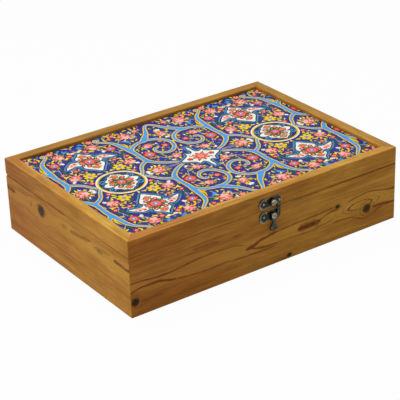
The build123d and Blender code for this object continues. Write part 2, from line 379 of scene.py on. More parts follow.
class GrowthLine(Effect):
    """A dark line of late growth or resin that wanders along a board's face."""

    title = "growth_line"
    takes = {
        "Across": ("Float", 0.0),
        "Off": ("Float", 0.0),
        "Ragged": ("Float", 0.0),
        "Start": ("Float", 0.0),
        "End": ("Float", 10.0),
        "Width": ("Float", 1.0),
    }
    gives = {"Mask": "Float"}
    begins_over = 8.0
    ends_over = 10.0
    swelling = (1.9, 1.05)
    taper = (0.75, 0.25)
    wander = 1.4
    side = (0.1, 1.15)
    end = (0.0, 0.5)

    @classmethod
    def build(cls, graph: Graph, given: Sockets) -> Sockets:
        """Build the inside of the group.

        Args:
            graph: The group's graph.
            given: Its inputs by name.

        Returns:
            Its outputs by name.
        """
        begun = graph.smooth(graph.minus(given["Across"], given["Start"]), 0.0, cls.begins_over)
        left = graph.smooth(graph.minus(given["End"], given["Across"]), 0.0, cls.ends_over)
        ends = graph.times(begun, left)
        width = graph.times(given["Width"], graph.scaled(given["Ragged"], *cls.swelling))
        width = graph.times(width, graph.scaled(ends, *cls.taper))
        off = graph.math("ABSOLUTE", graph.scaled(given["Ragged"], cls.wander, given["Off"]))
        mask = graph.minus(1.0, graph.smooth(graph.math("DIVIDE", off, width), *cls.side))
        return {"Mask": graph.times(mask, graph.smooth(ends, *cls.end))}


@dataclass(frozen=True)
class GrainLayer:
    """Noise of a board: how far it is drawn out along the grain, and how fine it is."""

    along_share: float
    seed_step: float
    scale: float
    detail: float = 2.0


class PineGrain(Effect):
    """Growth bands, fine lines and fibres of a sawn board, with the height of each for bump."""

    title = "pine_grain"
    takes = {
        "Along": ("Float", 0.0),
        "Across": ("Float", 0.0),
        "Depth": ("Float", 0.0),
        "Seed": ("Float", 0.0),
        "Light": ("Color", (0.5, 0.3, 0.1)),
        "Dark": ("Color", (0.2, 0.1, 0.03)),
        "Warm": ("Color", (0.5, 0.25, 0.05)),
        "Contrast": ("Float", 1.0),
    }
    gives = {"Color": "Color", "Roughness": "Float", "Height": "Float"}
    waves = GrainLayer(0.18, 7.3, 0.045)
    bands = GrainLayer(0.030, 3.1, 0.20, 3.0)
    lines = GrainLayer(0.018, 5.7, 0.58)
    fibres = GrainLayer(0.060, 9.1, 1.3, 4.0)
    clouds = GrainLayer(0.30, 4.3, 0.10, 3.0)
    patches = GrainLayer(0.22, 1.9, 0.035)
    wave_height = 9.0
    band_edge = (0.34, 0.68)
    line_edge = (0.42, 0.68)
    patch_edge = (0.35, 0.65)
    late_share = 0.34
    warm_share = 0.6
    fibre_shade = 0.6
    cloud_shade = 0.8
    mean_shade = 1.02
    gloss = (0.22, 0.34)
    relief = (0.5, 0.6)

    @classmethod
    def build(cls, graph: Graph, given: Sockets) -> Sockets:
        """Build the inside of the group.

        Args:
            graph: The group's graph.
            given: Its inputs by name.

        Returns:
            Its outputs by name.
        """

        def layer(kind: GrainLayer, across: Socket) -> Socket:
            """Place the noise of one layer.

            Args:
                kind: The layer.
                across: Its place across the grain.

            Returns:
                The noise.
            """
            begin = graph.times(given["Seed"], kind.seed_step)
            along = graph.scaled(given["Along"], kind.along_share, begin)
            place = graph.combine(along, across, given["Depth"])
            return graph.noise(place, kind.scale, kind.detail)

        bend = graph.minus(layer(cls.waves, given["Across"]), 0.5)
        across = graph.scaled(bend, cls.wave_height, given["Across"])
        bands = graph.smooth(layer(cls.bands, across), *cls.band_edge)
        lines = graph.smooth(layer(cls.lines, across), *cls.line_edge)
        fibres = layer(cls.fibres, across)
        clouds = layer(cls.clouds, across)
        patches = graph.smooth(layer(cls.patches, across), *cls.patch_edge)
        late = graph.math(
            "ADD", graph.times(bands, cls.late_share), graph.times(lines, cls.late_share)
        )
        late = graph.math("MULTIPLY", late, given["Contrast"], clamp=True)
        base = graph.mix(graph.times(patches, cls.warm_share), given["Light"], given["Warm"])
        colour = graph.mix(late, base, given["Dark"])
        shade = graph.scaled(graph.minus(fibres, 0.5), cls.fibre_shade, cls.mean_shade)
        shade = graph.scaled(graph.minus(clouds, 0.5), cls.cloud_shade, shade)
        colour = graph.mix(1.0, colour, graph.combine(shade, shade, shade), "MULTIPLY")
        line_relief, fibre_relief = cls.relief
        relief = graph.math(
            "ADD", graph.times(lines, line_relief), graph.times(fibres, fibre_relief)
        )
        rough = graph.scaled(fibres, *cls.gloss)
        return {"Color": colour, "Roughness": rough, "Height": relief}


class EdgeWear(Effect):
    """Finds edges by comparing the true normal with a rounded one, broken up by noise."""

    title = "edge_wear"
    takes = {"Radius": ("Float", 0.0006), "Amount": ("Float", 1.0)}
    gives = {"Mask": "Float"}
    samples = 6
    edge = (0.01, 0.16)
    noise = (0.9, 3.0)
    broken = (0.30, 0.62)

    @classmethod
    def build(cls, graph: Graph, given: Sockets) -> Sockets:
        """Build the inside of the group.

        Args:
            graph: The group's graph.
            given: Its inputs by name.

        Returns:
            Its outputs by name.
        """
        rounded = graph.add("Bevel", samples=cls.samples)
        graph.feed(rounded.inputs["Radius"], given["Radius"])
        same = graph.dot(rounded.outputs[0], graph.add("NewGeometry").outputs["Normal"])
        edge = graph.smooth(graph.minus(1.0, same), *cls.edge)
        broken = graph.smooth(graph.noise(graph.object_place(), *cls.noise), *cls.broken)
        worn = graph.times(edge, broken)
        return {"Mask": graph.math("MULTIPLY", worn, given["Amount"], clamp=True)}


class Mottle(Effect):
    """Uneven colour of a cast, plated or brushed surface, with its height for bump."""

    title = "mottle"
    takes = {"Scale": ("Float", 1.0), "Sharpness": ("Float", 0.5)}
    gives = {"Patches": "Float", "Speckle": "Float", "Height": "Float"}
    coarse = (0.45, 3.0)
    fine = (3.0, 2.0)
    relief = (0.7, 0.3)

    @classmethod
    def build(cls, graph: Graph, given: Sockets) -> Sockets:
        """Build the inside of the group.

        Args:
            graph: The group's graph.
            given: Its inputs by name.

        Returns:
            Its outputs by name.
        """
        place = graph.enlarged(graph.object_place(), given["Scale"])
        patches = graph.noise(place, *cls.coarse)
        speckle = graph.noise(place, *cls.fine)
        low = graph.times(given["Sharpness"], 0.5)
        sharp = graph.smooth(patches, low, graph.minus(1.0, low))
        patch_relief, speckle_relief = cls.relief
        height = graph.math(
            "ADD", graph.times(patches, patch_relief), graph.times(speckle, speckle_relief)
        )
        return {"Patches": sharp, "Speckle": speckle, "Height": height}


def new_material(name: str) -> tuple[bpy.types.Material, Graph, bpy.types.Node]:
    """Start a material with one Principled BSDF.

    Args:
        name: The material's name.

    Returns:
        The material, its graph and the Principled node.
    """
    material = bpy.data.materials.new(name)
    material.use_nodes = True
    tree = material.node_tree
    tree.nodes.clear()
    graph = Graph(tree)
    surface = graph.add("BsdfPrincipled")
    graph.feed(graph.add("OutputMaterial").inputs["Surface"], surface.outputs[0])
    return material, graph, surface


def raise_bump(
    graph: Graph, surface: bpy.types.Node, height: Socket, distance: float, strength: float = 0.6
) -> None:
    """Feed a height into the surface's normal through a bump node.

    Args:
        graph: The material's graph.
        surface: The Principled node.
        height: The height from 0 to 1.
        distance: How far a height of 1 stands out, in metres.
        strength: How much of the bump shows.
    """
    bump = graph.add("Bump")
    bump.inputs["Strength"].default_value = strength
    bump.inputs["Distance"].default_value = distance
    graph.feed(bump.inputs["Height"], height)
    graph.feed(surface.inputs["Normal"], bump.outputs[0])


@dataclass(frozen=True)
class KnotAt:
    """A knot on a board's face, measured from the face's left end and from the lid's top."""

    across: float
    below: float
    radius: float
    stretch: float = 1.0
    core: float = 0.92
    ring: float = 0.4


@dataclass(frozen=True)
class LineAt:
    """A dark line on a board's face, through places measured as a knot is.

    Knots push it aside, as they do the grain, unless it is the painted shadow in the seam between
    lid and base.
    """

    places: tuple[Point, ...]
    width: float = 1.5
    strength: float = 0.75
    seam_shadow: bool = False


@dataclass(frozen=True)
class PineFinish:
    """Stained and waxed pine for the base board and the lid rail of one side.

    The same finish goes on both, so the grain runs on across the seam, as it does where a box is
    cut apart with a saw after it is glued up.
    """

    name: str
    grain: Direction
    outward: Direction
    half_length: float
    reach: float
    seed: float
    light: Colour
    dark: Colour
    warm: Colour
    depth: float = 1.0
    band: tuple[float, float] | None = None
    knots: tuple[KnotAt, ...] = ()
    lines: tuple[LineAt, ...] = ()
    top: float = 84.6
    line_reach: float = 400.0
    fall: float = 0.0
    fall_ends: float = 0.5
    fall_gain: float = 0.35
    band_edge: tuple[float, float] = (0.6, 1.25)
    band_strength: float = 0.5
    knot_colour: Colour = from_screen(34, 27, 20)
    # Colour of streaks, knot rings and joints, and of the painted shadow in the seam between lid
    # and base.
    streak_and_seam_shadow_colour: Colour = from_screen(110, 44, 18)
    glow: Colour = from_screen(219, 162, 68)
    # Faces that look up are painted lighter and paler by this factor, as painted top light.
    painted_top_light: Colour = (1.0, 1.16, 1.32)
    top_light_edge: tuple[float, float] = (0.5, 1.0)
    ragged_noise: tuple[float, float] = (0.09, 3.0)
    fibre_share: float = 0.10
    fibre_scale: float = 1.1
    fibre_edge: tuple[float, float] = (0.05, 0.55)
    joint_strength: float = 0.28
    specular: float = 0.05
    relief: float = 0.10 * MM

    def material(self) -> bpy.types.Material:
        """Build the finish.

        Returns:
            The material.
        """
        material, graph, surface = new_material(self.name)
        space = BoardSpace.place(
            graph,
            Grain=self.grain,
            Outward=self.outward,
            Half_Length=self.half_length,
            Reach=self.reach,
        )
        across, marks = self._knots(graph, space)
        wood = PineGrain.place(
            graph,
            Along=space["Along"],
            Across=across,
            Depth=space["Depth"],
            Seed=self.seed,
            Light=self.light,
            Dark=self.dark,
            Warm=self.warm,
        )
        colour = wood["Color"]
        if self.band is not None:
            colour = graph.mix(self._band(graph, across), colour, self.glow)
        colour = self._lines(graph, space, across, colour)
        for core, ring, knot in marks:
            colour = graph.mix(graph.times(ring, knot.ring), colour, self.streak_and_seam_shadow_colour)
            colour = graph.mix(graph.times(core, knot.core), colour, self.knot_colour)
        joint = graph.times(space["Joint"], self.joint_strength)
        colour = graph.mix(joint, colour, self.streak_and_seam_shadow_colour)
        if self.fall:
            colour = self._shaded(graph, space, colour)
        # Painted top light: faces that look up get a lighter, paler colour.
        upward = graph.dot(graph.add("TexCoord").outputs["Normal"], (0.0, 0.0, 1.0))
        painted_top_light = tuple(self.depth * channel for channel in self.painted_top_light)
        fade = graph.mix(graph.smooth(upward, *self.top_light_edge), (self.depth,) * 3, painted_top_light)
        graph.feed(surface.inputs["Base Color"], graph.mix(1.0, colour, fade, "MULTIPLY"))
        graph.feed(surface.inputs["Roughness"], wood["Roughness"])
        surface.inputs["Specular IOR Level"].default_value = self.specular
        raise_bump(graph, surface, wood["Height"], self.relief)
        return material

    def _place(self, across: float, below: float) -> Direction:
        """Turn a place read off the face into the board's own measures."""
        return across - self.half_length, self.top - below, 0.0

    def _shaded(self, graph: Graph, space: Sockets, colour: Socket) -> Socket:
        """Make the colour darker towards the end where the grain begins, and lighter towards the
        other.

        Args:
            graph: The material's graph.
            space: The outputs of BoardSpace.
            colour: The colour before.

        Returns:
            The darkened colour.
        """
        end = self.fall_ends * self.half_length
        near = graph.minus(1.0, graph.smooth(space["Along"], -self.half_length, end))
        dim = graph.scaled(near, -self.fall, 1.0 + self.fall_gain * self.fall)
        return graph.mix(1.0, colour, graph.combine(dim, graph.times(dim, dim), dim), "MULTIPLY")

    def _knots(
        self, graph: Graph, space: Sockets
    ) -> tuple[Socket, list[tuple[Socket, Socket, KnotAt]]]:
        """Place the knots.

        Args:
            graph: The material's graph.
            space: The outputs of BoardSpace.

        Returns:
            The height pushed aside by the knots, and each knot's core, ring and record.
        """
        across = space["Height"]
        marks = []
        for knot in self.knots:
            made = Knot.place(
                graph,
                Along=space["Along"],
                Height=space["Height"],
                Place=self._place(knot.across, knot.below),
                Radius=knot.radius,
                Stretch=knot.stretch,
            )
            across = graph.math("ADD", across, made["Push"])
            marks.append((made["Core"], made["Ring"], knot))
        return across, marks

    def _band(self, graph: Graph, height: Socket) -> Socket:
        """Find the paler, yellower band of the board.

        Args:
            graph: The material's graph.
            height: Height up the board, pushed aside by the knots.

        Returns:
            The band's mask.
        """
        high, low = (self.top - below for below in self.band)
        middle, half = (high + low) / 2, (high - low) / 2
        off = graph.math("ABSOLUTE", graph.minus(height, middle))
        inside = graph.minus(1.0, graph.smooth(off, *(edge * half for edge in self.band_edge)))
        return graph.times(inside, self.band_strength)

    def _lines(self, graph: Graph, space: Sockets, height: Socket, colour: Socket) -> Socket:
        """Lay the dark lines over a colour.

        Args:
            graph: The material's graph.
            space: The outputs of BoardSpace.
            height: Height up the board, pushed aside by the knots.
            colour: The colour under the lines.

        Returns:
            The colour with the lines.
        """
        across = graph.math("ADD", space["Along"], self.half_length)
        below = graph.minus(self.top, height)
        # Lines that are the painted shadow in the seam between lid and base keep to the true
        # height, which knots don't push aside.
        if any(line.seam_shadow for line in self.lines):
            true_below = graph.minus(self.top, space["Height"])
        share = graph.math("DIVIDE", across, self.line_reach)
        ragged = graph.noise(graph.combine(across, below, self.seed), *self.ragged_noise)
        ragged = graph.minus(ragged, 0.5)
        cover: Socket | float = 0.0
        for line in self.lines:
            fallen = true_below if line.seam_shadow else below
            made = GrowthLine.place(
                graph,
                Across=across,
                Off=graph.scaled(self._curve(graph, line, share), -self.line_reach, fallen),
                Ragged=ragged,
                Start=line.places[0][0],
                End=line.places[-1][0],
                Width=line.width,
            )
            cover = graph.math("MAXIMUM", cover, graph.times(made["Mask"], line.strength))
        drawn_out = graph.combine(graph.times(across, self.fibre_share), below, 0.0)
        fibre = graph.noise(drawn_out, self.fibre_scale)
        cover = graph.times(cover, graph.smooth(fibre, *self.fibre_edge))
        return graph.mix(cover, colour, self.streak_and_seam_shadow_colour)

    def _curve(self, graph: Graph, line: LineAt, share: Socket) -> Socket:
        """Run a curve through a line's places.

        Args:
            graph: The material's graph.
            line: The line.
            share: The place along the board, as a share of the curve's reach.

        Returns:
            How far below the lid's top the line runs there, as a share of the curve's reach.
        """
        curve = graph.add("FloatCurve")
        points = curve.mapping.curves[0].points
        places = [(x / self.line_reach, y / self.line_reach) for x, y in line.places]
        points[0].location, points[1].location = places[0], places[-1]
        for place in places[1:-1]:
            points.new(*place)
        curve.mapping.update()
        graph.feed(curve.inputs["Value"], share)
        return curve.outputs[0]


@dataclass(frozen=True)
class ThinWoodFinish:
    """Bare thin wood, for the dividers and the hidden panels."""

    name: str
    grain: Direction
    outward: Direction
    seed: float
    light: Colour
    dark: Colour
    contrast: float = 0.7
    dullness: float = 0.22
    specular: float = 0.25
    relief: float = 0.08 * MM

    def material(self) -> bpy.types.Material:
        """Build the finish. It has no mitres, so its board is taken to be far too long for them.

        Returns:
            The material.
        """
        material, graph, surface = new_material(self.name)
        space = BoardSpace.place(
            graph, Grain=self.grain, Outward=self.outward, Half_Length=1000.0, Reach=0.0
        )
        wood = PineGrain.place(
            graph,
            Along=space["Along"],
            Across=space["Height"],
            Depth=space["Depth"],
            Seed=self.seed,
            Light=self.light,
            Dark=self.dark,
            Warm=self.light,
            Contrast=self.contrast,
        )
        graph.feed(surface.inputs["Base Color"], wood["Color"])
        rough = graph.math("ADD", wood["Roughness"], self.dullness)
        graph.feed(surface.inputs["Roughness"], rough)
        surface.inputs["Specular IOR Level"].default_value = self.specular
        raise_bump(graph, surface, wood["Height"], self.relief)
        return material


@dataclass(frozen=True)
class MetalFinish:
    """Plated metal with a darker patina in patches and brighter metal where edges are rubbed. With
    a face given, sides that don't look that way get the patina colour as painted shade.
    """

    name: str
    body: Colour
    patina_and_shade: Colour
    worn: Colour
    metallic: float
    roughness: float
    wear: float
    wear_radius: float = 0.5 * MM
    # Sides that don't look towards this face are painted in the patina colour as painted shade.
    face: Direction | None = None
    side_shade_edge: tuple[float, float] = (0.25, 0.7)
    grain: float = 1.6
    sharpness: float = 0.62
    speckled: float = 0.25
    speckle_mean: float = 0.12
    polish: float = 0.10
    relief: float = 0.10 * MM

    def material(self) -> bpy.types.Material:
        """Build the finish.

        Returns:
            The material.
        """
        material, graph, surface = new_material(self.name)
        mottle = Mottle.place(graph, Scale=self.grain, Sharpness=self.sharpness)
        rubbed = EdgeWear.place(graph, Radius=self.wear_radius, Amount=self.wear)["Mask"]
        colour = graph.mix(mottle["Patches"], self.body, self.patina_and_shade)
        # Painted shade: sides that turn from the face take the patina colour and aren't rubbed.
        if self.face is not None:
            facing = graph.dot(graph.add("TexCoord").outputs["Normal"], self.face)
            unshaded_share = graph.smooth(facing, *self.side_shade_edge)
            rubbed = graph.times(rubbed, unshaded_share)
            colour = graph.mix(unshaded_share, self.patina_and_shade, colour)
        start = self.roughness - self.speckle_mean
        rough = graph.scaled(mottle["Speckle"], self.speckled, start)
        rough = graph.minus(rough, graph.times(rubbed, self.polish))
        graph.feed(surface.inputs["Base Color"], graph.mix(rubbed, colour, self.worn))
        graph.feed(surface.inputs["Roughness"], rough)
        surface.inputs["Metallic"].default_value = self.metallic
        raise_bump(graph, surface, mottle["Height"], self.relief)
        return material


class Paint(Enum):
    """The paints of the lid panel, with their screen colours."""

    GROUND = (40, 38, 134)
    NAVY = (24, 34, 92)
    OUTLINE = (10, 30, 40)
    SKY = (74, 160, 230)
    STEEL = (80, 140, 192)
    GOLD = (242, 198, 20)
    LEMON = (248, 222, 40)
    WHITE = (250, 246, 232)
    BLUSH = (252, 190, 178)
    PINK = (246, 124, 112)
    RED = (232, 62, 34)
    ORANGE = (238, 134, 52)
    LEAF = (32, 98, 62)
    SAGE = (172, 176, 60)
    LILAC = (178, 172, 214)

    def finish(self) -> "PaintFinish":
        """Return the finish of this paint."""
        return PaintFinish(f"panel_{self.name.lower()}", from_screen(*self.value))


@dataclass(frozen=True)
class PaintFinish:
    """Hand-laid paint under a thin varnish, a little uneven in tone."""

    name: str
    colour: Colour
    unevenness: float = 0.22
    grain: float = 0.9
    speckled: float = 0.25
    gloss: tuple[float, float] = (0.15, 0.38)
    specular: float = 0.10
    relief: float = 0.04 * MM

    def material(self) -> bpy.types.Material:
        """Build the finish.

        Returns:
            The material.
        """
        material, graph, surface = new_material(self.name)
        mottle = Mottle.place(graph, Scale=self.grain, Sharpness=0.5)
        deeper = tuple(channel * (1 - self.unevenness) for channel in self.colour)
        lighter = tuple(min(channel * (1 + self.unevenness / 2), 1.0) for channel in self.colour)
        tone = graph.mix(mottle["Patches"], deeper, lighter)
        fine = graph.smooth(mottle["Speckle"], 0.35, 0.75)
        tone = graph.mix(graph.times(fine, self.speckled), tone, deeper)
        graph.feed(surface.inputs["Base Color"], tone)
        graph.feed(surface.inputs["Roughness"], graph.scaled(mottle["Speckle"], *self.gloss))
        surface.inputs["Specular IOR Level"].default_value = self.specular
        raise_bump(graph, surface, mottle["Height"], self.relief)
        return material


def smooth_line(
    points: Sequence[Sequence[float]], steps: int, closed: bool = False
) -> list[list[float]]:
    """Draw a smooth line through points, each of which may carry more values than two.

    Args:
        points: The points, in order.
        steps: How many pieces each stretch between two points is cut into.
        closed: True if the line runs back to its first point.

    Returns:
        The points of the smooth line.
    """
    count = len(points)
    made = []

    def at(index: int) -> Sequence[float]:
        """Return a point, wrapped or held at the ends."""
        return points[index % count] if closed else points[min(max(index, 0), count - 1)]

    def between(a: float, b: float, c: float, d: float, share: float) -> float:
        """Return one value of the curve between the two middle ones of four."""
        bend = (2 * a - 5 * b + 4 * c - d) * share**2
        return 0.5 * (2 * b + (c - a) * share + bend + (3 * b - a - 3 * c + d) * share**3)

    for stretch in range(count if closed else count - 1):
        four = [at(stretch + step) for step in (-1, 0, 1, 2)]
        for step in range(steps):
            made.append([between(*values, step / steps) for values in zip(*four)])
    if not closed:
        made.append(list(points[-1]))
    return made


@dataclass(frozen=True)
class Shape:
    """A flat shape of paint: an outline, or two sides of a ribbon, at a level of the painting."""

    paint: Paint
    level: int
    left: Loop
    right: Loop | None = None

    def moved(self, move: Callable[[Point], Point]) -> "Shape":
        """Return the shape with every point moved."""
        right = None if self.right is None else [move(p) for p in self.right]
        return Shape(self.paint, self.level, [move(p) for p in self.left], right)

    def points(self) -> Loop:
        """Return all points of the shape."""
        return self.left + (self.right or [])


@dataclass
class Easel:
    """Collects shapes, repeats them by the pattern's mirrors and makes one mesh for each paint."""

    half_width: float
    half_depth: float
    centre: Point
    surface: float
    mirror_line: float
    film: float = 0.03
    sunk: float = 0.01
    stagger: float = 0.0012
    stagger_steps: int = 23
    shapes: list[Shape] = field(default_factory=list)

    def stamp(self, motif: Iterable[Shape], middle: Point) -> None:
        """Put a motif at every mirrored place of the pattern.

        Args:
            motif: The shapes, in the pattern's quarter.
            middle: The motif's middle. Copies whose middles fall together are made once.
        """
        motif = list(motif)
        taken: set[tuple[int, int]] = set()
        repeat = 2 * self.mirror_line
        for start, side in ((0.0, 1), (0.0, -1), (repeat, -1), (-repeat, 1)):
            for up in (1, -1):

                def move(point: Point) -> Point:
                    """Return the point in its mirrored place on the panel."""
                    return start + side * point[0] + self.centre[0], up * point[1] + self.centre[1]

                key = tuple(round(value) for value in move(middle))
                if key not in taken:
                    taken.add(key)
                    copies = (shape.moved(move) for shape in motif)
                    self.shapes += [made for made in copies if self._reaches(made)]

    def _reaches(self, shape: Shape) -> bool:
        """Tell whether any point of a shape lies on the panel."""
        return any(abs(x) < self.half_width and abs(y) < self.half_depth for x, y in shape.points())

    def mesh(self, paint: Paint) -> bpy.types.Object:
        """Make the films of one paint.

        Args:
            paint: The paint.

        Returns:
            The mesh object, dressed in the paint's finish.
        """
        work = bmesh.new()
        for i, shape in enumerate(self.shapes):
            if shape.paint is paint:
                self._film(work, shape, self.stagger * (i % self.stagger_steps))
        self._trim(work)
        bmesh.ops.recalc_face_normals(work, faces=work.faces)
        name = f"panel_paint_{paint.name.lower()}"
        mesh = bpy.data.meshes.new(name)
        work.to_mesh(mesh)
        work.free()
        made = bpy.data.objects.new(name, mesh)
        bpy.context.scene.collection.objects.link(made)
        made.data.materials.append(paint.finish().material())
        return made

    def _film(self, work: bmesh.types.BMesh, shape: Shape, lift: float) -> None:
        """Add one shape as a closed film.

        Args:
            work: The mesh being made.
            shape: The shape.
            lift: A height less than one film, so that films of one level never share a surface.
        """
        low = self.surface - self.sunk
        high = self.surface + self.film * (shape.level + 1) + lift

        def ring(points: Loop, height: float) -> list[bmesh.types.BMVert]:
            """Make the vertices of an outline at a height."""
            return [work.verts.new((x * MM, y * MM, height * MM)) for x, y in points]

        if shape.right is None:
            bottom, top = ring(shape.left, low), ring(shape.left, high)
            work.faces.new(top)
            work.faces.new(bottom[::-1])
            for i, vert in enumerate(bottom):
                j = (i + 1) % len(bottom)
                work.faces.new((vert, bottom[j], top[j], top[i]))
            return
        left_low, left_top = ring(shape.left, low), ring(shape.left, high)
        right_low, right_top = ring(shape.right, low), ring(shape.right, high)
        for i in range(len(shape.left) - 1):
            j = i + 1
            work.faces.new((left_top[i], left_top[j], right_top[j], right_top[i]))
            work.faces.new((left_low[j], left_low[i], right_low[i], right_low[j]))
            work.faces.new((left_low[i], left_low[j], left_top[j], left_top[i]))
            work.faces.new((right_low[j], right_low[i], right_top[i], right_top[j]))
        for i in (0, -1):
            work.faces.new((left_low[i], left_top[i], right_top[i], right_low[i]))

    def _trim(self, work: bmesh.types.BMesh) -> None:
        """Cut the films off at the panel's edges and close the cuts.

        Wide faces that cross an edge are cut into triangles first, because a hollow outline can
        leave more than one piece.

        Args:
            work: The mesh being made.
        """
        width, depth = self.half_width * MM, self.half_depth * MM
        crossing = [
            face
            for face in work.faces
            if len(face.verts) > 4
            and any(abs(vert.co.x) > width or abs(vert.co.y) > depth for vert in face.verts)
        ]
        bmesh.ops.triangulate(work, faces=crossing)
        for normal in map(Vector, ((1, 0, 0), (-1, 0, 0), (0, 1, 0), (0, -1, 0))):
            place = normal * (self.half_width if normal.x else self.half_depth)
            parts = list(work.verts) + list(work.edges) + list(work.faces)
            bmesh.ops.bisect_plane(
                work, geom=parts, plane_co=place * MM, plane_no=normal, clear_outer=True
            )
            open_edges = [edge for edge in work.edges if edge.is_boundary]
            bmesh.ops.holes_fill(work, edges=open_edges, sides=0)


def beside(place: Point, reach: float, heading: float) -> Point:
    """Return the place that is a reach away from another, in a direction in radians."""
    return place[0] + reach * math.cos(heading), place[1] + reach * math.sin(heading)


def disc(middle: Point, radius: float, sides: int = 16) -> Loop:
    """Return a round outline."""
    return [beside(middle, radius, i * (2 * math.pi / sides)) for i in range(sides)]


def scalloped(middle: Point, radius: float, petals: int, depth: float, turn: float = 0.0) -> Loop:
    """Draw the outline of a flower seen from above.

    Args:
        middle: Its middle.
        radius: Its radius to the petals' tips.
        petals: How many petals.
        depth: How deep the notches go, as a share of the radius.
        turn: How far it is turned, in radians.

    Returns:
        The outline.
    """
    sides = petals * 6
    outline = []
    for i in range(sides):
        angle = 2 * math.pi * i / sides
        lobe = abs(math.cos(petals * angle / 2))
        outline.append(beside(middle, radius * (1 - depth * (1 - lobe) ** 1.5), angle + turn))
    return outline


def leaf(root: Point, heading: float, length: float, width: float, bend: float = 0.25) -> Loop:
    """Draw the outline of a pointed leaf.

    Args:
        root: Where the leaf starts.
        heading: Its direction in radians.
        length: Its length.
        width: Its width.
        bend: How far its middle bows to the left, as a share of its length.

    Returns:
        The outline.
    """
    steps = 6
    ahead, aside = (math.cos(heading), math.sin(heading)), (-math.sin(heading), math.cos(heading))
    sides: tuple[Loop, Loop] = ([], [])
    for i in range(steps + 1):
        share = i / steps
        bow = bend * length * math.sin(math.pi * share)
        half = width / 2 * math.sin(math.pi * share**0.8)
        for side, sign in zip(sides, (1, -1)):
            forward, sideways = share * length, bow + sign * half
            side.append(tuple(root[k] + forward * ahead[k] + sideways * aside[k] for k in (0, 1)))
    return sides[0] + sides[1][-2:0:-1]


def band(path: Sequence[Sequence[float]], extra: float, steps: int = 6) -> tuple[Loop, Loop]:
    """Draw the two sides of a ribbon.

    Args:
        path: Its middle line, each point with the ribbon's half width there.
        extra: How much wider each side is than the half width.
        steps: How finely each stretch is cut.

    Returns:
        The left and the right side.
    """
    line = smooth_line(path, steps)
    left: Loop = []
    right: Loop = []
    for i, (x, y, half) in enumerate(line):
        before, after = line[max(i - 1, 0)], line[min(i + 1, len(line) - 1)]
        dx, dy = after[0] - before[0], after[1] - before[1]
        length = math.hypot(dx, dy) or 1.0
        reach = half + extra
        left.append((x - dy / length * reach, y + dx / length * reach))
        right.append((x + dy / length * reach, y - dx / length * reach))
    return left, right


def about(middle: Point, points: Iterable[Sequence[float]]) -> Loop:
    """Return an outline moved so that its zero falls on a middle."""
    return [(middle[0] + x, middle[1] + y) for x, y in points]


def mirrored(side: Sequence[Point], twice: bool) -> Loop:
    """Complete an outline from the part of it that lies to the right of its middle.

    Args:
        side: That part, from the top to the right or, unless it is mirrored twice, to the foot.
        twice: True to mirror it downwards too.

    Returns:
        The outline.
    """
    whole = [(-x, y) for x, y in side[:0:-1]] + list(side)
    return whole + [(x, -y) for x, y in whole[-2:0:-1]] if twice else whole[1:]


def grown(outline: Loop, amount: float) -> Loop:
    """Move an outline outwards by the same amount everywhere.

    Points that a wide move would fold into a hollow of the outline are left out.

    Args:
        outline: The outline.
        amount: How far it moves.

    Returns:
        The outline.
    """
    after = outline[1:] + outline[:1]
    area = sum(x * ahead[1] - ahead[0] * y for (x, y), ahead in zip(outline, after))
    side = amount if area > 0 else -amount
    made = []
    for i, (x, y) in enumerate(outline):
        dx, dy = after[i][0] - outline[i - 1][0], after[i][1] - outline[i - 1][1]
        length = math.hypot(dx, dy) or 1.0
        made.append((x + side * dy / length, y - side * dx / length))
    if amount < FOLD_LIMIT:
        return made
    clear = FOLD_SHARE * amount
    return [place for place in made if min(math.dist(place, other) for other in outline) > clear]


class Level:
    """Levels of the painting, from the ground up."""

    STEM = 0
    LEAF = 1
    PETAL = 3
    LINE = 4
    EDGE = 5
    RIBBON = 6
    HALO = 4
    DARK = 5
    TRIM = 7
    BLOOM = 8


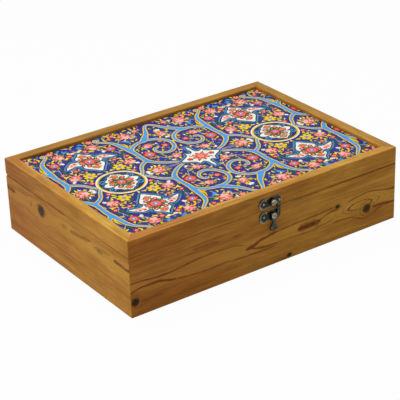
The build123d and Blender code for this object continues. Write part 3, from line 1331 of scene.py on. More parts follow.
@dataclass
class ScrollPattern:
    """The panel's traditional scroll and flower ornament.

    One quarter of a repeat is drawn and the easel mirrors it. In a quarter, the first number is the
    distance from the panel's middle along its length, and the second the distance from its long
    axis. A ribbon's third number is its half width, and the number after a flower's place is its
    radius.
    """

    easel: Easel
    edging: float = 1.25
    core: float = 0.88
    dark_line: float = 0.6
    thin_line: float = 0.5
    halo: float = 3.2
    halo_gap: float = 1.4
    ribbon_gap: float = 0.8
    stem_half: float = 0.42
    leaf_gap: float = 3.1
    leaf_tries: int = 1500
    kept_clear: list[tuple[Point, float]] = field(default_factory=list)

    TRUNK = (
        (66.2, 101.6, 0.35), (64.8, 104.4, 0.5), (67.6, 106.2, 0.6), (69.8, 103.2, 0.7),
        (67.4, 99.4, 0.9), (62.6, 94.8, 1.1), (57.8, 89.6, 1.5), (54.6, 82.6, 2.0),
        (53.0, 73.0, 2.4), (51.8, 61.0, 2.9), (51.0, 50.0, 2.4), (51.4, 39.0, 2.2),
        (51.4, 28.6, 2.6), (48.8, 21.5, 2.3), (43.0, 14.6, 1.9), (34.0, 7.6, 1.4), (25.4, 3.6, 0.9),
    )
    BRANCH = (
        (51.4, 26.6, 2.0), (56.4, 24.1, 1.8), (61.2, 20.4, 1.5), (65.8, 14.8, 1.2),
        (69.2, 8.2, 1.1), (73.8, 1.4, 0.9),
    )
    SPIRAL = (
        (51.6, 51.0, 0.9), (48.0, 61.2, 1.9), (38.6, 68.2, 1.9), (26.4, 71.0, 1.8),
        (14.8, 68.2, 1.7), (6.8, 60.8, 1.7), (3.7, 51.2, 1.7), (6.0, 41.4, 1.7), (11.4, 34.4, 1.7),
        (18.6, 30.8, 1.6), (25.6, 33.0, 1.3), (29.8, 39.0, 1.1), (29.2, 45.2, 1.0),
        (26.0, 47.6, 1.2), (24.0, 45.0, 1.1),
    )
    OGEE = (
        (31.0, 69.6, 1.2), (25.4, 72.0, 3.6), (19.8, 78.4, 3.1), (14.0, 85.2, 2.3),
        (9.4, 93.6, 1.5), (6.0, 100.2, 1.1), (2.8, 104.0, 0.9), (-1.0, 105.2, 0.8),
    )
    CLASP = (1.6, 51.2)
    HUSKS = (((49.2, 64.8), 1.52, 17.0, 0.12), ((24.6, 68.6), 0.3, 7.0, 0.3))
    STAR = (
        (0.0, 28.4), (1.6, 23.0), (1.4, 17.0), (2.6, 13.4), (5.2, 11.6), (10.2, 13.6), (11.0, 9.8),
        (12.6, 8.0), (17.6, 4.6), (24.0, 0.0),
    )
    MEDALLION = (
        (0.0, 22.4), (3.4, 19.4), (7.0, 17.4), (8.4, 14.0), (11.4, 12.2), (13.2, 8.6), (12.2, 5.2),
        (15.8, 4.4), (19.4, 0.0),
    )
    CARTOUCHE = (
        (0.0, 24.4), (3.2, 19.4), (7.4, 16.4), (9.6, 12.6), (8.6, 8.8), (12.0, 6.4), (17.2, 8.0),
        (23.0, 4.6), (30.0, -3.8), (23.2, -2.6), (17.2, -1.4), (12.8, -3.4), (11.2, -6.6),
        (12.4, -10.2), (9.6, -15.2), (5.2, -20.2), (0.0, -26.4),
    )
    ROSETTES = (((65.1, 76.9), 5.8), ((40.2, 37.8), 6.8))
    PEONIES = (
        ((66.8, 36.4), 7.2, 0.6), ((79.0, 92.2), 7.0, 1.9), ((36.9, 94.6), 8.0, 1.2),
        ((0.0, 75.2), 6.2, math.pi / 2), ((53.6, 0.0), 8.0, math.pi), ((18.4, 18.8), 5.8, 2.2),
        ((29.8, 57.4), 5.6, 2.5),
    )
    SUN = (82.2, 32.4)
    POSIES = (
        ((13.6, 48.0), 4.2, Paint.RED), ((11.8, 60.2), 3.0, Paint.ORANGE),
        ((60.6, 50.8), 3.2, Paint.RED), ((76.4, 51.4), 3.2, Paint.RED),
        ((74.6, 15.8), 3.4, Paint.RED), ((90.6, 88.6), 3.8, Paint.RED),
        ((75.6, 105.6), 4.4, Paint.PINK), ((19.8, 100.2), 4.2, Paint.PINK),
        ((46.6, 103.6), 3.2, Paint.PINK), ((54.0, 98.6), 3.2, Paint.RED),
    )
    SPRAYS = (
        ((40.0, 76.4), 0.85, 12.5, 5.4, Paint.STEEL),
        ((41.0, 77.4), 0.95, 9.0, 2.2, Paint.SKY),
        ((88.0, 96.6), 0.5, 9.0, 4.2, Paint.STEEL),
        ((93.6, 97.4), 1.9, 9.0, 3.4, Paint.SKY),
        ((84.6, 103.0), 0.7, 7.6, 2.8, Paint.SKY),
        ((72.0, 57.0), 1.3, 8.0, 2.4, Paint.STEEL),
        ((31.6, 83.6), 0.5, 6.4, 3.0, Paint.LILAC),
        ((27.0, 86.6), 1.2, 6.0, 2.6, Paint.LILAC),
    )
    BUDS = (
        ((0.5, 82.6), 1.35, 7.6), ((0.5, 68.8), -1.35, 7.0), ((62.4, 1.2), 0.35, 6.4),
        ((94.0, 90.0), 0.9, 5.6), ((59.0, 31.6), -0.7, 6.0), ((47.6, 108.0), 1.4, 5.0),
        ((71.6, 75.4), 0.2, 5.6), ((25.0, 12.4), -0.6, 5.0),
    )
    STEMS = (
        ((64.8, 71.0), (62.6, 60.0), (60.6, 53.4)),
        ((62.8, 62.0), (59.4, 66.6), (57.0, 68.4)),
        ((66.6, 30.4), (68.6, 24.0), (72.6, 18.6)),
        ((46.6, 88.0), (51.0, 84.0), (49.4, 78.6)),
        ((13.6, 20.6), (9.4, 27.0), (4.4, 38.6)),
        ((24.0, 17.0), (31.0, 20.0), (36.0, 30.0)),
        ((36.0, 44.0), (35.0, 52.0), (31.0, 55.0)),
        ((79.0, 86.0), (76.0, 80.0), (70.0, 77.4)),
        ((60.0, 1.0), (66.0, 1.2), (71.0, 0.6)),
        ((47.0, 1.0), (38.0, 1.4), (28.0, 0.6)),
        ((18.0, 41.0), (20.6, 48.0), (18.4, 55.0)),
    )
    COLLAR_PAINTS = (
        Paint.LEMON, Paint.GOLD, Paint.LEMON, Paint.SAGE, Paint.LEMON, Paint.LEAF, Paint.GOLD,
    )
    GROUND_PAINTS = (
        Paint.LEMON, Paint.SAGE, Paint.LEAF, Paint.GOLD, Paint.STEEL, Paint.LEMON, Paint.WHITE,
        Paint.LEAF, Paint.LEMON, Paint.PINK,
    )
    # A curl's points, how it winds in and turns from one to the next, and its ribbon's share.
    CURL_POINTS = 13
    CURL_SHRINK = 0.055
    CURL_TURN, CURL_START = 0.6, -1.4
    CURL_HALF = 0.17
    # Leaves of the ground stand on a lattice that never repeats, over this much of the depth.
    LATTICE = (0.7548776662, 0.5698402910)
    LATTICE_DEPTH = 112.0
    # The least length of a leaf, how much longer it may be, and its width as a share of that.
    GROUND_LEAF = (4.0, 2.6, 0.38)
    COLLAR_LEAF = (5.6, 2.4, 0.36)
    COLLAR_TURN = 0.45
    GOLDEN = 0.618
    # Where along a leaf the ground has to be free.
    LEAF_PROBES = (0.35, 0.7, 1.0)

    def paint(self) -> None:
        """Draw the whole pattern."""
        self._ribbons()
        self._star()
        self._medallion()
        self._cartouche()
        self._blooms()
        self._foliage()

    def _lined(
        self, outline: Loop, paint: Paint, level: int, line: float | None = None
    ) -> list[Shape]:
        """Return a shape with a dark line round it.

        Args:
            outline: The shape's outline.
            paint: Its paint.
            level: Its level. The line lies one level lower.
            line: How wide the line is, if it isn't the usual one.

        Returns:
            The line and the shape.
        """
        rim = grown(outline, self.dark_line if line is None else line)
        return [Shape(Paint.OUTLINE, level - 1, rim), Shape(paint, level, outline)]

    def _ribbons(self) -> None:
        """Draw the ribbons of the quarter: sky blue with gold edges and a dark line round them."""
        coats = (
            (Paint.OUTLINE, Level.LINE, self.edging + self.dark_line),
            (Paint.GOLD, Level.EDGE, self.edging),
            (Paint.SKY, Level.RIBBON, 0.0),
        )
        for line in (self.OGEE, self.SPIRAL, self.BRANCH, self.TRUNK):
            path = [(x, y, self.core * half) for x, y, half in line]
            middle = path[len(path) // 2][:2]
            for paint, level, extra in coats:
                left, right = band(path, extra)
                self.easel.stamp([Shape(paint, level, left, right)], middle)
            reach = self.edging + self.dark_line + self.ribbon_gap
            self.kept_clear += [((x, y), half + reach) for x, y, half in smooth_line(path, 4)]
        self.easel.stamp([Shape(Paint.GOLD, Level.EDGE, disc(self.CLASP, 2.4))], self.CLASP)
        for root, heading, length, bend in self.HUSKS:
            husk = leaf(root, heading, length, 2.6, bend)
            self.easel.stamp(self._lined(husk, Paint.GOLD, Level.EDGE), root)

    def _field(
        self, middle: Point, outline: Loop, level: int, thinner: float = 0.0
    ) -> list[Shape]:
        """Draw a white field with a dark and a blue line round it.

        Args:
            middle: Where it stands.
            outline: Its outline about zero.
            level: The level of the blue line.
            thinner: How much less than the usual the blue line reaches out.

        Returns:
            The shapes.
        """
        edge = about(middle, smooth_line(outline, 3, closed=True))
        reach = self.halo - thinner
        return [
            Shape(Paint.OUTLINE, level - 1, grown(edge, reach + self.dark_line + 0.5 * thinner)),
            Shape(Paint.STEEL, level, grown(edge, reach)),
            Shape(Paint.OUTLINE, level + 1, grown(edge, self.halo_gap)),
            Shape(Paint.WHITE, level + 2, edge),
        ]

    def _curls(
        self, middle: Point, off: Point, size: float, paint: Paint, level: int
    ) -> list[Shape]:
        """Draw curled tendrils at the places mirrored round a motif's middle.

        Args:
            middle: The motif's middle.
            off: How far to the sides and up they curl, or down where it is negative.
            size: The radius of a curl.
            paint: The paint.
            level: The level of the dark line under each.

        Returns:
            The shapes.
        """
        shapes = []
        for way in (-1, 1):
            curl = []
            for turn in range(self.CURL_POINTS):
                reach = size * (1 - self.CURL_SHRINK * turn)
                angle = self.CURL_TURN * turn + self.CURL_START
                x = middle[0] + way * (off[0] + reach * math.cos(angle))
                y = middle[1] + off[1] + math.copysign(reach, off[1]) * math.sin(angle)
                curl.append((x, y, self.CURL_HALF * size))
            shapes.append(Shape(Paint.OUTLINE, level, *band(curl, self.dark_line, 2)))
            shapes.append(Shape(paint, level + 1, *band(curl, 0.0, 2)))
        return shapes

    def _rosette(self, middle: Point, radius: float, level: int = Level.PETAL) -> list[Shape]:
        """Draw a red rosette with a blue eye.

        Args:
            middle: Its middle.
            radius: Its radius.
            level: The level of its petals.

        Returns:
            The shapes.
        """
        inner = scalloped(middle, 0.76 * radius, 8, 0.3, math.pi / 8)
        return [
            *self._lined(scalloped(middle, radius, 8, 0.22), Paint.RED, level),
            Shape(Paint.PINK, level + 1, inner),
            Shape(Paint.RED, level + 2, disc(middle, 0.45 * radius)),
            Shape(Paint.SKY, level + 3, disc(middle, 0.38 * radius)),
            Shape(Paint.WHITE, level + 4, disc(middle, 0.15 * radius, 10)),
        ]

    def _peony(self, middle: Point, radius: float, heading: float) -> list[Shape]:
        """Draw a pink peony.

        Args:
            middle: Its middle.
            radius: Its radius.
            heading: Where its petals open to, in radians.

        Returns:
            The shapes.
        """
        level = Level.PETAL

        def ahead(share: float, turn: float = 0.0) -> Point:
            """Return a place ahead of the middle, as a share of the radius."""
            return beside(middle, share * radius, heading + turn)

        shapes = self._lined(scalloped(middle, radius, 7, 0.34, heading), Paint.PINK, level)
        for paint, lift, share, size, depth, turn in (
            (Paint.BLUSH, 1, -0.34, 0.60, 0.3, 0.0),
            (Paint.RED, 1, 0.36, 0.44, 0.3, 0.4),
            (Paint.BLUSH, 2, 0.18, 0.30, 0.2, 0.0),
        ):
            petals = scalloped(ahead(share), size * radius, 5, depth, heading + turn)
            shapes.append(Shape(paint, level + lift, petals))
        for turn in (0.6, -0.6):
            shapes.append(Shape(Paint.BLUSH, level + 2, disc(ahead(0.62, turn), 0.18 * radius, 8)))
        for side in (-1.1, 1.1):
            vein = leaf(ahead(-0.1), heading + side, 0.75 * radius, 0.2 * radius)
            shapes.append(Shape(Paint.RED, level + 2, vein))
        return shapes

    def _sun(self, middle: Point, radius: float) -> list[Shape]:
        """Draw a yellow flower with a blue eye.

        Args:
            middle: Its middle.
            radius: Its radius.

        Returns:
            The shapes.
        """
        turned = 0.3
        outline = scalloped(middle, radius, 6, 0.42, turned)
        shapes = self._lined(outline, Paint.GOLD, Level.PETAL)
        for turn in range(6):
            rib = leaf(middle, turn * math.pi / 3 + turned, 0.86 * radius, 0.3 * radius, 0.0)
            shapes.append(Shape(Paint.LEMON, Level.PETAL + 1, rib))
        shapes.append(Shape(Paint.ORANGE, Level.PETAL + 2, disc(middle, 0.36 * radius)))
        shapes.append(Shape(Paint.SKY, Level.PETAL + 3, disc(middle, 0.26 * radius)))
        return shapes

    def _posy(self, middle: Point, radius: float, paint: Paint) -> list[Shape]:
        """Draw a small open flower, turned by where it stands.

        Args:
            middle: Its middle.
            radius: Its radius.
            paint: The paint of its petals.

        Returns:
            The shapes.
        """
        inner = scalloped(middle, 0.48 * radius, 5, 0.3, middle[1])
        return [
            *self._lined(scalloped(middle, radius, 5, 0.4, middle[0]), paint, Level.PETAL),
            Shape(Paint.BLUSH, Level.PETAL + 1, inner),
            Shape(Paint.RED, Level.PETAL + 2, disc(middle, 0.22 * radius, 10)),
        ]

    def _bud(self, root: Point, heading: float, length: float) -> list[Shape]:
        """Draw a bud of three white petals on a short stem.

        Args:
            root: Where the stem starts.
            heading: Its direction in radians.
            length: How long the bud is with its stem.

        Returns:
            The shapes.
        """
        tip = beside(root, 0.3 * length, heading)
        stem = leaf(root, heading, 0.6 * length, 0.26 * length, 0.0)
        shapes = [Shape(Paint.SAGE, Level.LEAF, stem)]
        for turn in (-0.55, 0.0, 0.55):
            petal = leaf(tip, heading + turn, 0.7 * length, 0.36 * length, turn / 3)
            shapes.append(Shape(Paint.WHITE, Level.PETAL, petal))
        return shapes

    def _star(self) -> None:
        """Draw the white star in the middle of the panel."""
        middle = (0.0, 0.0)
        level = Level.TRIM
        shapes = self._field(middle, mirrored(self.STAR, True), Level.HALO)
        shapes += [
            Shape(Paint.LEAF, level, scalloped(middle, 9.8, 8, 0.4)),
            Shape(Paint.PINK, level + 1, scalloped(middle, 8.6, 8, 0.35)),
            Shape(Paint.RED, level + 2, scalloped(middle, 6.6, 8, 0.5, math.pi / 8)),
            Shape(Paint.BLUSH, level + 3, scalloped(middle, 3.6, 8, 0.3)),
            Shape(Paint.ORANGE, level + 4, disc(middle, 2.0)),
        ]
        for way in (-1, 1):
            place = (way * 13.6, 0.0)
            shapes.append(Shape(Paint.OUTLINE, level, scalloped(place, 3.6, 5, 0.3)))
            shapes.append(Shape(Paint.RED, level + 1, scalloped(place, 3.1, 5, 0.3)))
            for up in (-1, 1):
                blade = leaf((way * 7.0, up * 5.0), up * (1.57 - way * 0.5), 5.0, 2.0)
                shapes.append(Shape(Paint.LEAF, level, blade))
        self.easel.stamp(shapes, middle)
        self.kept_clear += [(middle, 18.0), ((0.0, 20.0), 5.5), ((21.0, 0.0), 6.5)]

    def _medallion(self) -> None:
        """Draw the round medallion on the mirror line."""
        middle = (self.easel.mirror_line, 0.0)
        rings = (
            (Paint.OUTLINE, 27.6),
            (Paint.WHITE, 27.0),
            (Paint.GOLD, 25.5),
            (Paint.OUTLINE, 23.7),
            (Paint.NAVY, 23.0),
        )
        shapes = [
            Shape(paint, Level.LINE + i, disc(middle, radius, 64))
            for i, (paint, radius) in enumerate(rings)
        ]
        level = Level.LINE + len(rings) + 1
        wider = [(1.06 * x, 0.95 * y) for x, y in mirrored(self.MEDALLION, True)]
        shapes += self._field(middle, wider, level, 1.1)
        for up in (-10.4, 10.4):
            shapes += self._curls(middle, (16.2, up), 4.0, Paint.SKY, level)
        shapes += self._field_flowers(middle, 14.6, 10.0, level + 3, 5.6)
        self.easel.stamp(shapes, middle)
        self.kept_clear.append((middle, 28.6))

    def _field_flowers(
        self, middle: Point, high: float, wide: float, level: int, eye: float = 7.2
    ) -> list[Shape]:
        """Draw the flowers on a cartouche's white field.

        Args:
            middle: The cartouche's middle.
            high: How far up and down the outer flowers stand.
            wide: How far to the sides they stand.
            level: The level of their leaves.
            eye: The radius of the middle flower.

        Returns:
            The shapes.
        """

        def spot(angle: float, across: float = 1.0, up: float = 1.0) -> Point:
            """Return a place on an oval round the middle."""
            x = across * wide * math.cos(angle)
            return middle[0] + x, middle[1] + up * high * math.sin(angle)

        shapes = []
        for turn in range(8):
            heading = math.pi / 4 * turn + math.pi / 8
            blade = leaf(middle, heading, 12.6, 5.4, 0.12)
            shapes += self._lined(blade, Paint.LEAF, level + 1, 0.8)
            shapes.append(Shape(Paint.SAGE, level + 2, leaf(middle, heading, 11.4, 1.5, 0.2)))
        for turn in range(4):
            heading = math.pi / 2 * turn
            place = spot(heading)
            paint = Paint.ORANGE if turn % 2 else Paint.PINK
            shapes += self._lined(scalloped(place, 3.9, 5, 0.3, heading), paint, level + 1)
            shapes.append(Shape(Paint.RED, level + 2, scalloped(place, 2.0, 5, 0.3, heading)))
            shapes.append(Shape(Paint.BLUSH, level + 3, disc(place, 0.8, 8)))
            place = spot(heading + math.pi / 4, 0.98, 0.9)
            petals = scalloped(place, 2.5, 5, 0.3, heading)
            shapes.append(Shape(Paint.OUTLINE, level, grown(petals, self.dark_line)))
            shapes.append(Shape(Paint.RED, level + 2, petals))
            shapes.append(Shape(Paint.BLUSH, level + 3, disc(place, 1.0, 8)))
            for side in (-1, 1):
                far = heading + 0.32 * side
                sprig = leaf(spot(far, 1.16, 1.02), far + 0.9 * side, 3.6, 1.2)
                shapes.append(Shape(Paint.OUTLINE, level, sprig))
        return shapes + self._rosette(middle, eye, level + 3)

    def _cartouche(self) -> None:
        """Draw the winged cartouche above and below each medallion."""
        middle = x, y = (self.easel.mirror_line, 63.0)
        shapes = self._field(middle, mirrored(self.CARTOUCHE, False), Level.HALO)
        shapes += self._field_flowers(middle, 15.4, 7.8, Level.TRIM)
        for off, size in (((15.2, -8.6), 2.8), ((11.6, 13.2), 2.2)):
            shapes += self._curls(middle, off, size, Paint.STEEL, Level.DARK)
        for way in (-1, 1):
            root, heading = (x + way * 13.6, y + 3.6), math.pi / 2 - way * 1.86
            wing = leaf(root, heading, 13.0, 4.4, -0.08 * way)
            shapes.append(Shape(Paint.BLUSH, Level.TRIM, wing))
            for reach, size in ((15.8, 2.4), (20.6, 1.9), (24.8, 1.4)):
                place = (x + way * reach, y + 5.6 - 0.26 * (reach - 12))
                shapes.append(Shape(Paint.PINK, Level.BLOOM, scalloped(place, size, 5, 0.3, reach)))
                shapes.append(Shape(Paint.RED, Level.BLOOM + 1, disc(place, 0.4 * size, 8)))
            root, heading = (x + way * 13.0, y + 2.0), math.pi / 2 - way * 1.7
            shapes.append(Shape(Paint.LEAF, Level.TRIM, leaf(root, heading, 8.0, 1.6)))
        self.easel.stamp(shapes, middle)
        self.kept_clear += [(middle, 17.0), ((x, y + 20), 8.0), ((x, y - 20), 9.0)]
        self.kept_clear += [((x - reach, y + 1.6), 8.2) for reach in (17.0, 24.0)]

    def _blooms(self) -> None:
        """Draw the larger flowers, each at its own place in the quarter, with leaves round them."""
        blooms = [(place, radius, self._rosette(place, radius)) for place, radius in self.ROSETTES]
        for place, radius, heading in self.PEONIES:
            blooms.append((place, radius, self._peony(place, radius, heading)))
        blooms.append((self.SUN, 8.2, self._sun(self.SUN, 7.6)))
        for place, radius, paint in self.POSIES:
            blooms.append((place, radius, self._posy(place, radius, paint)))
        for place, radius, shapes in blooms:
            self.easel.stamp(shapes, place)
            self.kept_clear.append((place, radius))
        for place, radius, _ in blooms:
            self._collar(place, radius)
        self._sprays()

    def _sprays(self) -> None:
        """Draw the blue sprays and the buds."""
        for root, heading, length, width, paint in self.SPRAYS:
            self.easel.stamp([Shape(paint, Level.LEAF, leaf(root, heading, length, width))], root)
            self.kept_clear.append((beside(root, length / 2, heading), length / 2))
        for root, heading, length in self.BUDS:
            self.easel.stamp(self._bud(root, heading, length), root)
            self.kept_clear.append((root, 0.7 * length))

    def _blade(
        self, root: Point, heading: float, length: float, width: float, paint: Paint
    ) -> bool:
        """Draw one small leaf if the ground under it is free.

        Args:
            root: Where it starts.
            heading: Its direction in radians.
            length: Its length.
            width: Its width.
            paint: Its paint.

        Returns:
            True if it was drawn.
        """
        reach = [beside(root, share * length, heading) for share in self.LEAF_PROBES]
        for place in reach:
            if any(math.dist(place, other) < clear for other, clear in self.kept_clear):
                return False
        blade = leaf(root, heading, length, width)
        self.easel.stamp(self._lined(blade, paint, Level.LEAF, self.thin_line), reach[0])
        return True

    def _collar(self, middle: Point, radius: float) -> None:
        """Set leaves round a bloom wherever there is room.

        Args:
            middle: The bloom's middle.
            radius: Its radius.
        """
        count = round(1.2 * radius)
        first = round(middle[0])
        shortest, longer, slender = self.COLLAR_LEAF
        for i in range(count):
            angle = 2 * math.pi * (i + 0.3 * math.sin(middle[0] + 2.0 * i)) / count + middle[1]
            root = beside(middle, 0.9 * radius, angle)
            length = shortest + longer * ((self.GOLDEN * i + middle[0]) % 1)
            heading = angle + self.COLLAR_TURN
            paint = self.COLLAR_PAINTS[(i + first) % len(self.COLLAR_PAINTS)]
            if self._blade(root, heading, length, slender * length, paint):
                self.kept_clear.append((beside(root, 0.6 * length, heading), 2.0))

    def _foliage(self) -> None:
        """Draw the thin stems, and the small leaves that fill the ground between the flowers."""
        for stem in self.STEMS:
            left, right = band([(x, y, self.stem_half) for x, y in stem], 0.0, 4)
            self.easel.stamp([Shape(Paint.LILAC, Level.STEM, left, right)], stem[1])
        spread = (self.easel.mirror_line, self.LATTICE_DEPTH)
        turn = math.pi * (3 - math.sqrt(5))
        shortest, longer, slender = self.GROUND_LEAF
        for i in range(self.leaf_tries):
            place = tuple(i * step % 1 * reach for step, reach in zip(self.LATTICE, spread))
            length = shortest + longer * ((i * self.GOLDEN) % 1)
            heading = i * turn
            root = beside(place, -length / 2, heading)
            paint = self.GROUND_PAINTS[i % len(self.GROUND_PAINTS)]
            if self._blade(root, heading, length, slender * length, paint):
                self.kept_clear.append((place, self.leaf_gap))


@dataclass
class Timber:
    """The wooden pieces: boards, rails, dividers and panels."""

    half_length: float = 170.0
    half_depth: float = 121.0
    pine_light: Colour = from_screen(208, 147, 62)
    pine_dark: Colour = from_screen(149, 90, 32)
    pine_warm: Colour = from_screen(186, 118, 44)

    FRONT_KNOTS = (
        KnotAt(4.9, 67.8, 5.6, 1.1, ring=0.2),
        KnotAt(300.0, 60.0, 6.4, 1.15, ring=0.35),
        KnotAt(291.0, 53.2, 3.3, 3.7, core=0.0, ring=0.85),
        KnotAt(258.9, 45.3, 3.0, 1.3, ring=0.25),
        KnotAt(194.6, 80.4, 3.2, 1.3, ring=0.2),
    )
    FRONT_LINES = (
        LineAt(
            ((-6, 47), (13, 47.6), (27, 48.7), (42, 49.3), (56, 48.4), (71, 46.7), (89, 45.3)),
            1.3,
            0.8,
        ),
        LineAt(((84, 45.5), (107, 45.6), (124, 47), (142, 51.5)), 0.9, 0.5),
        LineAt(
            ((-6, 61), (2, 59.6), (11, 56), (22, 54.7), (33, 54.4), (44, 57.1), (58, 59.6)),
            1.9,
            0.85,
        ),
        LineAt(
            ((50, 58.4), (73, 61.1), (93, 62), (116, 61.6), (138, 63.1), (156, 64), (180, 63.3)),
            1.2,
            0.65,
        ),
        LineAt(
            ((140, 56.4), (144, 55.8), (149, 53.6), (156, 51.6), (169, 49.3), (184, 47.6)),
            1.9,
            0.9,
        ),
        LineAt(((176, 48.4), (204, 46.7), (227, 46.4), (244, 45.6), (258, 45.1)), 1.2, 0.75),
        LineAt(((140, 55.6), (145, 56.2), (153, 58.7), (164, 60.4), (184, 60.4)), 1.8, 0.85),
        LineAt(((176, 60.4), (204, 60.9), (222, 61.6), (240, 60), (258, 58.2)), 1.1, 0.6),
        LineAt(((203, 55.3), (212, 55), (222, 54.9), (240, 53)), 4.8, 1.0),
        LineAt(((136, 56.2), (143, 55.6), (149, 54.6), (158, 52.4)), 3.0, 0.9),
        LineAt(((218, 53), (233, 53.2), (244, 49.8), (256, 47.3), (268, 46.2)), 1.3, 0.75),
        LineAt(
            ((270, 46), (287, 44.4), (300, 43.6), (316, 45.1), (329, 47.1), (346, 48.6)),
            1.2,
            0.7,
        ),
        LineAt(((305, 59.4), (320, 60.7), (331, 62.4), (346, 63)), 2.2, 0.85),
        LineAt(((322, 46), (331, 46.8), (350, 49)), 2.0, 0.85),
        LineAt(
            ((250, 62.7), (278, 63.3), (287, 66), (298, 66.9), (311, 64.9), (331, 61.6)),
            1.1,
            0.65,
        ),
        LineAt(((8, 68.6), (24, 69.2), (40, 69)), 1.2, 0.45),
        LineAt(((172, 81.6), (184, 81.4), (196, 80.6)), 1.4, 0.5),
        LineAt(((72, 34.2), (90, 34.6), (110, 35.2)), 2.4, 0.4),
        LineAt(((120, 36), (136, 36.2)), 2.6, 0.4),
        # Painted shadow in the seam between lid and base.
        LineAt(((198, 19.6), (260, 19.2), (350, 19.2)), 1.1, 0.6, seam_shadow=True),
    )
    BACK_KNOTS = (KnotAt(92.0, 38.0, 5.2, 1.3, ring=0.2), KnotAt(268.0, 63.0, 3.6, 1.2, ring=0.15))
    BACK_LINES = (
        LineAt(((10, 30), (60, 31), (92, 29), (150, 33), (200, 31)), 1.4, 0.7),
        LineAt(((-6, 47), (60, 46), (92, 48), (160, 45), (240, 47)), 1.3, 0.6),
        LineAt(((180, 55), (230, 53.6), (268, 55), (346, 51)), 1.2, 0.6),
        LineAt(((60, 66), (140, 68), (210, 70), (268, 69.4), (330, 71)), 1.2, 0.5),
        LineAt(((120, 12), (200, 13), (300, 11)), 0.9, 0.3),
    )
    LEFT_KNOTS = (
        KnotAt(74.0, 33.8, 8.4, 1.1, ring=0.08),
        KnotAt(52.6, 34.6, 3.0, 0.55, core=0.5, ring=0.1),
        KnotAt(120.0, 33.4, 3.0, 2.0, core=0.35, ring=0.12),
        KnotAt(189.0, 33.4, 2.6, 2.8, core=0.45, ring=0.15),
    )
    LEFT_LINES = (
        LineAt(((-12, 32.4), (4, 32.8), (22, 33.4)), 3.6, 0.85),
        LineAt(((211, 32.2), (226, 31.8), (236, 32.4), (252, 31)), 3.0, 0.9),
        LineAt(((130, 33.4), (152, 31.6), (176, 28.4)), 3.0, 0.6),
        LineAt(((174, 32.6), (190, 32), (212, 29.4)), 1.2, 0.5),
        LineAt(((2, 28.6), (24, 28.2), (56, 27.4)), 1.2, 0.5),
        LineAt(((80, 28), (96, 23.8), (118, 22.6)), 1.0, 0.35),
        # Painted shadow in the seam between lid and base.
        LineAt(((-6, 19.4), (60, 19.2), (128, 19.4)), 1.2, 0.6, seam_shadow=True),
        LineAt(((116, 50), (140, 49), (160, 51)), 1.1, 0.25),
        LineAt(((100, 66), (130, 64), (160, 66)), 1.1, 0.25),
        LineAt(((0, 2), (40, 1.6), (110, 2.2)), 1.0, 0.4),
    )
    RIGHT_KNOTS = (KnotAt(160.0, 47.0, 4.6, 1.3, ring=0.18),)
    RIGHT_LINES = (
        LineAt(((-6, 46), (50, 45), (110, 43), (160, 39.6), (200, 42), (248, 44)), 1.4, 0.65),
        LineAt(((-6, 58), (60, 57), (120, 56), (160, 55), (210, 57), (248, 56)), 1.2, 0.55),
        LineAt(((80, 70), (140, 68), (236, 70)), 1.0, 0.4),
    )

    def finishes(self) -> dict[str, PineFinish]:
        """Describe the pine of each side.

        Returns:
            The finishes by the name of the side.
        """
        front = {"band": (46.0, 62.0), "fall": 0.17}
        front |= {"knots": self.FRONT_KNOTS, "lines": self.FRONT_LINES}
        back = {"band": (28.0, 46.0), "depth": 0.74}
        back |= {"knots": self.BACK_KNOTS, "lines": self.BACK_LINES}
        left = {"band": (28.0, 43.0), "fall": 0.15}
        left |= {"knots": self.LEFT_KNOTS, "lines": self.LEFT_LINES}
        right = {"band": (40.0, 54.0), "depth": 0.8}
        right |= {"knots": self.RIGHT_KNOTS, "lines": self.RIGHT_LINES}
        return {
            "front": self._side("front_pine", (0.0, -1.0, 0.0), 1.0, front),
            "back": self._side("back_pine", (0.0, 1.0, 0.0), 4.0, back),
            "left": self._side("left_pine", (-1.0, 0.0, 0.0), 2.0, left),
            "right": self._side("right_pine", (1.0, 0.0, 0.0), 3.0, right),
        }

    def _side(
        self, name: str, outward: Direction, seed: float, marks: dict[str, object]
    ) -> PineFinish:
        """Make the finish of one side.

        Args:
            name: The finish's name.
            outward: Where the side's face looks to. Seen from there, the grain begins at the left.
            seed: A number that sets its grain apart from the others'.
            marks: What is the side's own: fields of the finish by name.

        Returns:
            The finish.
        """
        half, reach = self.half_length, self.half_depth
        if outward[0]:
            half, reach = reach, half
        return PineFinish(
            name,
            (0.0 - outward[1], outward[0], 0.0),
            outward,
            half,
            reach,
            seed,
            self.pine_light,
            self.pine_dark,
            self.pine_warm,
            **marks,
        )

    def dress(self) -> None:
        """Give every wooden piece its finish."""
        for side, finish in self.finishes().items():
            dress_nodes([f"{side}_board", f"lid_{side}_rail"], finish.material())
        x, y, front = (1.0, 0.0, 0.0), (0.0, 1.0, 0.0), (0.0, -1.0, 0.0)
        bare = from_screen(206, 158, 98), from_screen(168, 116, 62)
        ply = from_screen(216, 176, 120), from_screen(188, 142, 88)
        long_wood = ThinWoodFinish("long_divider_wood", x, front, 5.0, *bare).material()
        cross_wood = ThinWoodFinish("cross_divider_wood", y, x, 6.0, *bare).material()
        plywood = ThinWoodFinish("plywood", x, front, 7.0, *ply).material()
        dress_nodes([f"long_divider_{i}" for i in (1, 2)], long_wood)
        dress_nodes([f"cross_divider_{i}" for i in (1, 2, 3)], cross_wood)
        dress_nodes(["bottom_panel", "lid_backing_panel"], plywood)


